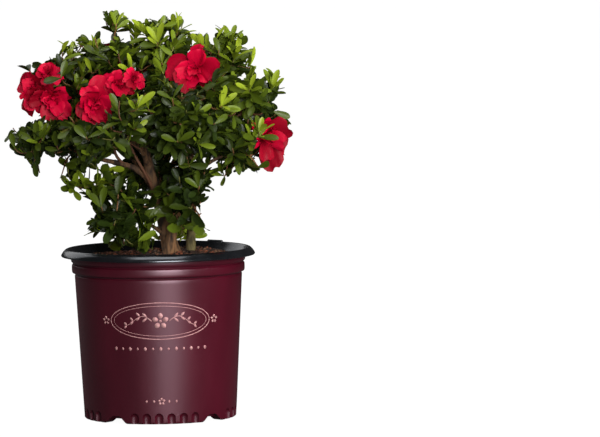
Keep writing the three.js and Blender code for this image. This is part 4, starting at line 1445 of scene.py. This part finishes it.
def twig_chain(number, joint, heading, tip, bloom):
    """A curve that leaves a joint along its heading and arrives rising, or the way the bloom faces."""
    span = math.dist(joint, tip)
    outward = unit(tip - HEARTS[number])
    arrival = unit(bloom[1]) if bloom else unit(outward * TIP_LEAN + UP)
    start = joint - heading * TWIG_SEAT
    setout = joint + heading * TWIG_SETOUT * span
    return bezier([start, setout, tip - arrival * TWIG_ARRIVAL * span, tip])


def is_clear(number, chain, width):
    inner = chain[SEATED_POINTS:]
    inside = is_listed(chain[-1], ALL_LEADERS) or depth_in_space(number, inner).min() > 0
    return inside and distance_to_bark(inner).min() > width


def best_twig(number, joints, tip, bloom, width):
    """Tries the joints that cost least, and gives the first chain that is clear."""
    places = np.array([place for place, _ in joints])
    headings = np.array([heading for _, heading in joints])
    ways = tip - places
    spans = np.linalg.norm(ways, axis=1)
    costs = spans * (TURN_COST - (ways * headings).sum(1) / spans)
    for k in np.argsort(costs)[:JOINT_TRIES]:
        chain = twig_chain(number, *joints[k], tip, bloom)
        open_front = bloom or is_listed(tip, FRONT_SHOOTS) or not hides_bloom(chain[HIDDEN_POINTS:])
        if spans[k] > LEAST_SPAN and open_front and is_clear(number, chain, width):
            return chain
    return None


# %% Grow the twigs of every mass
TWIG_RADIUS = 1.15
TWIG_TAPER = 0.6
TWIG_JOINTS = (0.4, 0.7)
FINE_THICKNESS = 0.75
STEM_SEAT = 0.3
STEM_SINK = 3
STEM_SETOUT = 0.5
STEM_START = 0.97
STEM_POINTS = 9
STEM_JOINTS = (0.3, 0.5, 0.7, 0.85, 0.97)
CHAIN_STEPS = 6
SKY_POINTS = 9


def mass_stem(number):
    """The stem from a bough's tip to the heart of its mass: its foot, its points and its radii."""
    bough = MASSES[number]["on"]
    limb = smooth_path(LIMBS[bough][3])
    heading = unit(limb[-1] - limb[-2])
    foot = limb[-1] + heading * STEM_SEAT
    reach = math.dist(foot, HEARTS[number])
    controls = [foot - heading * STEM_SINK, foot + heading * STEM_SETOUT * reach, HEARTS[number]]
    radii = np.linspace(LIMBS[bough][1] * STEM_START, TWIG_RADIUS, STEM_POINTS)
    return foot, spaced(bezier(controls), STEM_POINTS), radii


def grow_twigs(number):
    """All twigs of a mass as (points, radii, bloom, level); the stem comes first."""
    foot, stem, stem_radii = mass_stem(number)
    twigs = [(stem, stem_radii, None, 0)]
    joints = [along(stem, share) for share in STEM_JOINTS]
    tips = first_tips(number, seeded_random(MASSES[number]["seed"]))
    fine = [(tip, None) for tip in fine_tips(number, [tip for tip, _ in tips])]
    for level, wanted in enumerate((tips, fine), start=1):
        thick = TWIG_RADIUS if level == 1 else TWIG_RADIUS * FINE_THICKNESS
        for tip, bloom in sorted(wanted, key=lambda row: math.dist(row[0], foot)):
            chain = best_twig(number, joints, tip, bloom, thick)
            if chain is None or (not bloom and in_open_sky(chain[-SKY_POINTS:], 1).any()):
                continue
            chain = spaced(chain, CHAIN_STEPS + 1)
            radii = np.linspace(thick, thick * TWIG_TAPER, CHAIN_STEPS + 1)
            twigs.append((chain, radii, bloom, level))
            joints += [along(chain, share) for share in TWIG_JOINTS]
    return twigs


CROWN = [grow_twigs(number) for number in range(len(MASSES))]
print("twigs in each mass:", [len(twigs) for twigs in CROWN])

# %% [markdown]
# A twig is a thin tube that narrows to its tip. Hundreds of curve objects would be slow, so the tubes
# are worked out as arrays and joined in one mesh, in three tints of young bark. Two slender side
# stems, bare up to the leaves, are drawn in the same way.

# %% Twigs as one joined mesh
TWIG_SIDES = 5
TWIG_TINTS = [(104, 66, 44), (122, 84, 50), (112, 110, 52)]
TWIG_SHARES = [0.3, 0.4, 0.3]
SIDE_STEMS = [
    [[-3, 3, 236], [-12, -8, 256], [-23, -14, 277], [-32, -18, 302]],
    [[-33, -6, 264], [-42, -11, 276], [-45, -13, 290], [-51, -14, 306]],
]
SIDE_STEM_RADII = (2.0, 1.2)
TWIG_SEED = 3


def tube_arrays(points, radii, sides):
    """A closed tapering tube round a chain of points: its corners, then its walls and its two ends."""
    count = len(points)
    headings = np.gradient(points, axis=0)
    headings /= np.linalg.norm(headings, axis=1)[:, None]
    across = cross_directions(headings[0])[0]
    turns = np.arange(sides) * 2 * math.pi / sides
    rings = []
    for place, heading, radius in zip(points, headings, radii):
        across = unit(across - heading * across.dot(heading))
        over = np.cross(heading, across)
        rings.append(place + radius * (np.outer(np.cos(turns), across) + np.outer(np.sin(turns), over)))
    corners = np.concatenate([*rings, [points[0]], [points[-1] + headings[-1] * radii[-1]]])
    spot = np.arange(sides)
    after = (spot + 1) % sides
    last = (count - 1) * sides
    start_cap = np.stack([after, spot, np.full(sides, count * sides)], axis=1)
    end_cap = np.stack([last + spot, last + after, np.full(sides, count * sides + 1)], axis=1)
    return corners, ring_walls(count, sides), np.concatenate([start_cap, end_cap])


def side_stems():
    """Slender bare stems that stand before the trunk and the far left bough, as rows like a twig's."""
    rows = []
    for controls in SIDE_STEMS:
        chain = spaced(smooth_path(controls), 2 * CHAIN_STEPS)
        rows.append((chain, np.linspace(*SIDE_STEM_RADII, len(chain)), None, 0))
    return rows


def twig_arrays(crown):
    """The tubes of all twigs in arrays: points, faces and the number of each face's tint."""
    points, faces, kinds, start = [], [], [], 0
    rng = np.random.default_rng(TWIG_SEED)
    for twigs in crown:
        for chain, radii, _, level in twigs:
            corners, walls, caps = tube_arrays(chain, radii, TWIG_SIDES)
            points.append(corners)
            kind = 0 if level == 0 else int(rng.choice(len(TWIG_TINTS), p=TWIG_SHARES))
            faces += (walls + start).tolist() + (caps + start).tolist()
            kinds += [kind] * (len(walls) + len(caps))
            start += len(corners)
    return np.concatenate(points), faces, kinds


def twig_finish(tint):
    finish = new_finish("twig_skin", color_of(*tint), 0.7)
    add_relief(finish, add_mottle(finish, 900.0), 0.2)
    return finish


twig_points, twig_faces, twig_kinds = twig_arrays([*CROWN, side_stems()])
twig_piece = mesh_object("twigs", twig_points, twig_faces)
place_piece(twig_piece, "twigs", [twig_finish(tint) for tint in TWIG_TINTS], kinds=twig_kinds)

# %% [markdown]
# ## The leaves
# A leaf is widest past its middle, folded a little along its midrib, and ends in a short point. It is
# modelled once, from a flat grid whose rows are widened and slid, and copied by arrays. Every copy is
# arched, rolled and sized anew. Young whorls stand upright and are yellow-green. Old leaves spread
# and are deep green. The tints are plain colours dealt out leaf by leaf, and they paint light and shade
# as well: lighter at the top and the edges, darker deep in the crown and low down.

# %% Model one leaf
LEAF_ROWS = [(0.0, 0.1), (0.12, 0.24), (0.3, 0.58), (0.5, 0.9), (0.7, 1.0), (0.86, 0.85),
             (0.96, 0.5), (1.0, 0.12)]
LEAF_COLUMNS = 4
LEAF_FOLD = 0.13


def shaped_grid(rows, columns):
    """A unit grid whose rows are slid to their place and widened to their share, as arrays."""
    deselect_all()
    last = len(rows) - 1
    bpy.ops.mesh.primitive_grid_add(x_subdivisions=columns, y_subdivisions=last, size=2 * MM)
    grid = bpy.context.object
    heights = [2 * k / last - 1 for k in range(last + 1)]
    for height, (slide, width) in reversed(list(zip(heights, rows))):
        select_points(grid, lambda point, at=height: abs(point.y - at) < 1e-3)
        bpy.ops.transform.resize(value=(width / 2, 1, 1), center_override=(0, 0, 0))
        bpy.ops.transform.translate(value=(0, (slide + 2 - height) * MM, 0))
    bpy.ops.object.mode_set(mode="OBJECT")
    points = np.array([point.co for point in grid.data.vertices]) / MM
    points[:, 1] -= 2
    faces = np.array([list(face.vertices) for face in grid.data.polygons])
    bpy.data.objects.remove(grid)
    return points, faces


LEAF_POINTS, LEAF_FACES = shaped_grid(LEAF_ROWS, LEAF_COLUMNS)
LEAF_POINTS[:, 2] += LEAF_FOLD * np.abs(LEAF_POINTS[:, 0]) * 2
print("leaf faces:", len(LEAF_FACES))

# %% [markdown]
# How young and how lit a spray looks sets its tint, its size and how upright its leaves stand. Sprays at
# the top, at the edge of a mass and on listed shoots are the youngest. Their light tints also paint the
# light that falls there, and sprays deep in a mass and low down get darker tints, a painted shade.
# Sprays low at the far left get lighter tints too, a painted light. Each spray has a whorl round its tip
# and a few older leaves lower down.

# %% Tint of a spray
LOW_LEAVES = 250.0
# Painted light: sprays low at the far left get lighter tints.
LIT_CORNER = (-52.0, 272.0)
YOUNG, FRESH, MIDDLE, MATURE, DEEP = range(5)
LEVELS = [0.16, 0.44, 0.74, 0.98]
# Painted light and shade on top of age: sprays near a mass's edge and high in the crown get lighter
# tints, those deep inside and low down darker ones.
EDGE_YOUTH_AND_LIGHT, EDGE_DEPTH = 0.75, 26.0
TOP_YOUTH_AND_LIGHT, CROWN_MIDDLE, CROWN_RISE = 0.45, 270.0, 130.0
LEADER_YOUTH = 0.25
CORNER_LIGHT = 0.4
YOUTH_CHANCE = 0.16


def youth_and_light_level(number, tip):
    """How young and how lit a spray looks, partly age and partly painted light: highest at the top and
    at the edge of its mass.
    """
    depth = depth_in_space(number, tip[None])[0]
    return EDGE_YOUTH_AND_LIGHT * (1 - depth / EDGE_DEPTH) + TOP_YOUTH_AND_LIGHT * (tip[2] - CROWN_MIDDLE) / CROWN_RISE


def spray_tint(number, tip, leads, is_shaded, rng):
    """The tint of a spray, with a little chance, from young and lit to deep and shaded: age with painted
    light and shade.
    """
    youth_and_light = youth_and_light_level(number, tip) + (LEADER_YOUTH if leads and tip[2] > LOW_LEAVES else 0.0)
    if tip[0] < LIT_CORNER[0] and tip[2] < LIT_CORNER[1]:
        youth_and_light += CORNER_LIGHT
    # Painted shade: a listed shaded spray takes the darkest tints.
    if is_shaded:
        youth_and_light = 0.0
    return DEEP - int(np.searchsorted(LEVELS, youth_and_light + rng.normal(0, YOUTH_CHANCE)))


# %% Leaves of a spray
YOUNG_SIZES = (0.74, 1.02)
OLD_SIZES = (0.86, 1.14)
LOWER_SIZES = (0.8, 1.05)
LEADER_TILT, YOUNG_TILT, OLD_TILT, LOWER_TILT = 0.34, 0.5, 0.72, 0.95
TILT_STEP, TILT_CHANCE, LOWER_CHANCE = 0.09, 0.12, 0.15
LEADER_COUNT, WHORL_COUNT = (6, 9), (5, 8)
LOWER_SHARES = (0.35, 0.52, 0.68, 0.82)
LOWER_PHASE, LOWER_TURN = 2, 2.4
WHORL_SEAT, WHORL_PITCH = 0.4, 1.0
SHADED_FROM, SHADED_SHARE, LOWER_SHADED = 4, 0.6, 0.4
LEADER_GROWTH = 0.16
SHADE_GROWTH = 0.2
SHADE_DEPTH = 50


def whorl_leaves(tip, axis, tint, grown, leads, phase, rng):
    """The whorl at a tip: young leaves stand upright, old ones spread, and the lowest turn darker, for
    their age and as painted shade.
    """
    young = tint <= FRESH
    upright = (LEADER_TILT if leads else YOUNG_TILT) if young else OLD_TILT
    count = int(rng.integers(*(LEADER_COUNT if leads else WHORL_COUNT)))
    leaves = []
    for k in range(count):
        tilt = upright + TILT_STEP * k + rng.normal(0, TILT_CHANCE)
        size = grown * rng.uniform(*(YOUNG_SIZES if young else OLD_SIZES))
        root = tip - axis * (WHORL_SEAT + WHORL_PITCH * k)
        shade = min(DEEP, tint + (1 if k >= SHADED_FROM and rng.random() < SHADED_SHARE else 0))
        leaves.append((root, leaning(axis, phase + k * GOLDEN_ANGLE, tilt), axis, size, shade))
    return leaves


def lower_leaves(chain, tint, grown, phase, rng):
    """The older leaves down a twig, spread wide and darker than the whorl, for their age and as painted
    shade.
    """
    leaves = []
    for k, share in enumerate(LOWER_SHARES):
        place, heading = along(chain, share)
        tilt = LOWER_TILT + rng.normal(0, LOWER_CHANCE)
        shade = min(DEEP, tint + 1 + int(rng.random() < LOWER_SHADED))
        size = grown * rng.uniform(*LOWER_SIZES)
        turn = phase + LOWER_PHASE + k * LOWER_TURN
        leaves.append((place, leaning(heading, turn, tilt), heading, size, shade))
    return leaves


def spray_leaves(number, chain, rng):
    """One spray, as (root, heading, face, size, shade) for each leaf."""
    tip, axis = along(chain, 1.0)
    leads = is_listed(chain[-1], ALL_LEADERS)
    tint = spray_tint(number, tip, leads, is_listed(chain[-1], SHADED_SHOOTS), rng)
    shaded = min(1.0, max(0.0, (LOW_LEAVES - tip[2]) / SHADE_DEPTH))
    grown = 1.0 + SHADE_GROWTH * shaded + (LEADER_GROWTH if leads else 0.0)
    phase = rng.random() * 2 * math.pi
    leaves = whorl_leaves(tip, axis, tint, grown, leads, phase, rng)
    return leaves + lower_leaves(chain, tint, grown, phase, rng)


# %% Keep the leaves that have room
LEAF_LENGTH = 20.0
LEAF_SPOTS = (0.35, 0.65, 1.0)
LEAF_ROOM = 2.0
LEAF_OUTSIDE = 4.0
LEAF_OFF_BARK = 0.8
LEAF_FLOOR = 177.0
SPRAY_SEED = 500


def leaf_spots(leaf):
    """Three places along a leaf's midrib, which stand for all of it in the tests."""
    root, heading, _, size, _ = leaf
    return root + np.outer(LEAF_SPOTS, heading) * LEAF_LENGTH * size


def leaf_fits(number, tip, spots):
    """True if a leaf keeps to its mass, above the rim, off the bark, and out of the picture's gaps."""
    at_home = is_listed(tip, ALL_LEADERS) or depth_in_space(number, spots).min() > -LEAF_OUTSIDE
    if not at_home or distance_to_bark(spots).min() < LEAF_OFF_BARK or spots[:, 2].min() < LEAF_FLOOR:
        return False
    before_bloom = hides_bloom(spots) and not is_listed(tip, FRONT_SHOOTS)
    return not (before_bloom or hides_limb(spots) or in_open_sky(spots).any())


def is_crowded(spots, taken):
    return len(taken) > 0 and np.linalg.norm(taken[:, None] - spots, axis=2).min() < LEAF_ROOM


def leaves_of(number):
    """The leaves of a mass that fit where they grow and have room among those kept before."""
    rng = np.random.default_rng(MASSES[number]["seed"] + SPRAY_SEED)
    kept, taken = [], np.zeros((0, 3))
    for chain, _, bloom, _ in CROWN[number][1:]:
        if bloom:
            continue
        for leaf in spray_leaves(number, chain, rng):
            spots = leaf_spots(leaf)
            if leaf_fits(number, chain[-1], spots) and not is_crowded(spots, taken):
                taken = np.concatenate([taken, spots])
                kept.append(leaf)
    return kept


# %% Copy the blade to every leaf
LEAF_WIDTH = 7.6
YOUNG_NARROW = 0.84
LEAF_ARCH = (-0.14, 0.1)
LEAF_ROLL = (0, 0.3)
BLADE_SEED = 40


def blade_arrays(template, blades, arches, rolls):
    """Copies a unit blade to each (root, heading, face, length, width), and gives their points."""
    roots, headings, faces, lengths, widths = (np.array(column) for column in zip(*blades))
    sides = np.cross(headings, faces)
    sides /= np.linalg.norm(sides, axis=1)[:, None]
    tops = np.cross(sides, headings)
    turned_sides = sides * np.cos(rolls)[:, None] + tops * np.sin(rolls)[:, None]
    turned_tops = tops * np.cos(rolls)[:, None] - sides * np.sin(rolls)[:, None]
    across, reach, height = template.T
    lift = arches[:, None] * lengths[:, None] * reach**2 + height * widths[:, None]
    return (
        roots[:, None]
        + turned_sides[:, None] * (across * widths[:, None])[..., None]
        + headings[:, None] * (reach * lengths[:, None])[..., None]
        + turned_tops[:, None] * lift[..., None]
    )


def leaf_arrays(number):
    rng = np.random.default_rng(number + BLADE_SEED)
    blades, shades = [], []
    for root, heading, face, size, shade in leaves_of(number):
        wide = LEAF_WIDTH * size * (YOUNG_NARROW if shade <= FRESH else 1.0)
        blades.append((root, heading, face, LEAF_LENGTH * size, wide))
        shades.append(shade)
    arches = rng.normal(*LEAF_ARCH, len(blades))
    rolls = rng.normal(*LEAF_ROLL, len(blades))
    points = blade_arrays(LEAF_POINTS, blades, arches, rolls)
    faces = LEAF_FACES[None] + np.arange(len(blades))[:, None, None] * len(LEAF_POINTS)
    return points.reshape(-1, 3), faces.reshape(-1, 4), np.repeat(shades, len(LEAF_FACES))


# %% Leaf finishes and leaf pieces
# Leaf greens from young to deep: besides age, the lighter ones paint light at the top and edges and the
# darker ones paint shade inside the crown.
LEAF_TINTS = {YOUNG: (130, 146, 34), FRESH: (100, 117, 25), MIDDLE: (66, 80, 16),
              MATURE: (46, 58, 13), DEEP: (33, 45, 12)}


def leaf_finish(shade):
    finish = new_finish(f"leaf_{shade}", color_of(*LEAF_TINTS[shade]), 0.42, Specular_IOR_Level=0.26)
    skin = add_mottle(finish, 420.0)
    vary_roughness(finish, skin, 0.3, 0.44)
    add_relief(finish, skin, 0.25, 0.6)
    return finish


LEAF_FINISHES = [leaf_finish(shade) for shade in LEAF_TINTS]
leaf_total = 0
for mass_number, mass in enumerate(MASSES):
    leaf_points, leaf_faces, leaf_kinds = leaf_arrays(mass_number)
    foliage = mesh_object("leaves", leaf_points, leaf_faces)
    piece_name = mass["name"].replace("foliage", "leaves")
    place_piece(foliage, piece_name, LEAF_FINISHES, [mass["name"]], leaf_kinds)
    leaf_total += len(leaf_faces) // len(LEAF_FACES)
print("leaves:", leaf_total)

# %% [markdown]
# ## The flowers
# These azaleas flower double: behind, a ring of five broad lobes that grow from one funnel and roll
# back at their rims, and in front a tuft of smaller crumpled petals. One petal is modelled once from
# a grid, and every copy gets its own ruffle. Thin stamens fill the throat.

# %% Model one petal
PETAL_ROWS = [(0.0, 0.2), (0.12, 0.3), (0.26, 0.52), (0.42, 0.8), (0.58, 0.97), (0.73, 1.0),
              (0.86, 0.93), (0.95, 0.72), (1.0, 0.36)]
PETAL_COLUMNS = 8
RIM_WIDTH = 0.6
WAVE_COUNTS, WAVE_SHARES, WAVE_SLANT = (3.2, 8.5), (0.6, 0.4), 5
CUP_DEPTH = 0.16
FURROW_DEPTH, FURROW_WIDTH = 0.05, 0.22
NOTCH_DEPTH, NOTCH_WIDTH = 0.05, 0.3
PETAL_POINTS, PETAL_FACES = shaped_grid(PETAL_ROWS, PETAL_COLUMNS)
print("petal faces:", len(PETAL_FACES))


def ruffled(template, rng, crumple):
    """A petal with its own waves along the rim, a furrow in the middle, cupped sides and a notch."""
    across, reach, _ = template.T
    side = across * 2
    phase, more = rng.random(2) * 2 * math.pi
    rim = np.abs(side) ** 1.5 * reach + reach**4 * RIM_WIDTH
    waves = np.sin(WAVE_COUNTS[0] * side + phase) * WAVE_SHARES[0]
    waves += np.sin(WAVE_COUNTS[1] * side + WAVE_SLANT * reach + more) * WAVE_SHARES[1]
    cup = CUP_DEPTH * side**2 * (1 - reach)
    furrow = -FURROW_DEPTH * np.exp(-((side / FURROW_WIDTH) ** 2)) * (1 - reach)
    shaped = template.copy()
    shaped[:, 2] = cup + furrow + crumple * rim * waves
    shaped[:, 1] -= NOTCH_DEPTH * np.exp(-((side / NOTCH_WIDTH) ** 2)) * reach**6
    return shaped


# %% One flower: three rings of petals, a funnel and stamens
RINGS = [
    {"petals": 5, "tilt": 0.82, "length": 0.62, "width": 0.62, "rise": 0.03, "arch": -0.3,
     "crumple": 0.16},
    {"petals": 4, "tilt": 0.5, "length": 0.5, "width": 0.46, "rise": 0.09, "arch": -0.3,
     "crumple": 0.22},
    {"petals": 3, "tilt": 0.25, "length": 0.34, "width": 0.34, "rise": 0.13, "arch": 0.05,
     "crumple": 0.26},
]
PETAL_SAG = 0.12
PETAL_SHARES = [0.5, 0.3, 0.2]
PETAL_LENGTHS = (0.75, 1.22)
PETAL_WIDTHS = (0.85, 1.15)
TURN_CHANCE, LEAN_CHANCE, ARCH_CHANCE, ROLL_CHANCE = 0.12, 0.26, 0.05, 0.26
DARK_RED = 2
FUNNEL_REACH = (-0.1, 0.16)
FUNNEL_RADII = (0.01, 0.035, 0.05, 0.07, 0.09)
FUNNEL_SIDES = 12
STAMENS = 8
STAMEN_SHARES = np.array([0.0, 0.45, 0.9, 0.94, 1.0])
STAMEN_RADII = (0.3, 0.26, 0.24, 0.6, 0.02)
STAMEN_SIDES = 5
STAMEN_TILTS = (0.1, 0.4)
STAMEN_REACHES = (0.42, 0.58)
STAMEN_CURVE = 0.12


def ring_of_petals(bloom, ring, rng):
    """The petals of one ring round a bloom's axis, as (points, faces, tint) each."""
    _, facing, wide = bloom
    axis = unit(facing)
    foot = bloom_foot(bloom)
    start = rng.random() * 2 * math.pi
    parts = []
    for k in range(ring["petals"]):
        turn = start + (k + rng.normal(0, TURN_CHANCE)) * 2 * math.pi / ring["petals"]
        heading = leaning(axis, turn, ring["tilt"] + rng.normal(0, LEAN_CHANCE))
        root = foot + axis * ring["rise"] * wide + heading * 0.5
        length = ring["length"] * wide * rng.uniform(*PETAL_LENGTHS)
        width = ring["width"] * wide * rng.uniform(*PETAL_WIDTHS)
        shape = ruffled(PETAL_POINTS, rng, ring["crumple"])
        arch = np.array([ring["arch"] + rng.normal(0, ARCH_CHANCE)])
        roll = np.array([rng.normal(0, ROLL_CHANCE)])
        points = blade_arrays(shape, [(root, heading, axis, length, width)], arch, roll)[0]
        points[:, 2] -= PETAL_SAG * wide * shape[:, 1] ** 2
        parts.append((points, PETAL_FACES, int(rng.choice(len(PETAL_SHARES), p=PETAL_SHARES))))
    return parts


def funnel(bloom):
    """The short tube behind the petals."""
    axis = unit(bloom[1])
    foot = bloom_foot(bloom)
    chain = foot + np.outer(np.linspace(*FUNNEL_REACH, len(FUNNEL_RADII)) * bloom[2], axis)
    corners, walls, _ = tube_arrays(chain, np.array(FUNNEL_RADII) * bloom[2], FUNNEL_SIDES)
    return corners[:-2], walls, DARK_RED


def stamens(bloom, rng):
    """Thin filaments that lean out of the throat, each thicker at its end, where the anther sits."""
    axis = unit(bloom[1])
    parts = []
    for k in range(STAMENS):
        way = leaning(axis, k * GOLDEN_ANGLE, rng.uniform(*STAMEN_TILTS))
        reach = bloom[2] * rng.uniform(*STAMEN_REACHES)
        rise = np.outer(STAMEN_SHARES**2 * STAMEN_CURVE * reach, UP)
        chain = bloom_foot(bloom) + np.outer(STAMEN_SHARES * reach, way) + rise
        corners, walls, _ = tube_arrays(chain, np.array(STAMEN_RADII), STAMEN_SIDES)
        parts.append((corners[:-2], walls, DARK_RED))
    return parts


# %% Flower pieces
PETAL_TINTS = [(198, 3, 50), (174, 2, 40), (138, 2, 27)]
FLOWER_SEED = 21


def petal_finish(tint):
    finish = new_finish("petal", color_of(*tint), 0.5, Specular_IOR_Level=0.14)
    skin = add_mottle(finish, 380.0, (1, 1, 1), 0.3, 0.7)
    vary_roughness(finish, skin, 0.42, 0.6)
    add_relief(finish, skin, 0.3, 0.6)
    return finish


def flower_arrays():
    """All flowers in arrays: those at the end of a twig first, then the extra ones."""
    rng = np.random.default_rng(FLOWER_SEED)
    parts = []
    grown = [bloom for twigs in CROWN for _, _, bloom, _ in twigs if bloom]
    for bloom in grown + EXTRA_BLOOMS:
        for ring in RINGS:
            parts += ring_of_petals(bloom, ring, rng)
        parts.append(funnel(bloom))
        parts += stamens(bloom, rng)
    points, faces = joined_arrays([part[:2] for part in parts])
    kinds = np.concatenate([np.full(len(part[1]), part[2]) for part in parts])
    return points, faces, kinds


petal_points, petal_faces, petal_kinds = flower_arrays()
petal_piece = mesh_object("petals", petal_points, petal_faces)
PETAL_FINISHES = [petal_finish(tint) for tint in PETAL_TINTS]
place_piece(petal_piece, "petals", PETAL_FINISHES, kinds=petal_kinds)
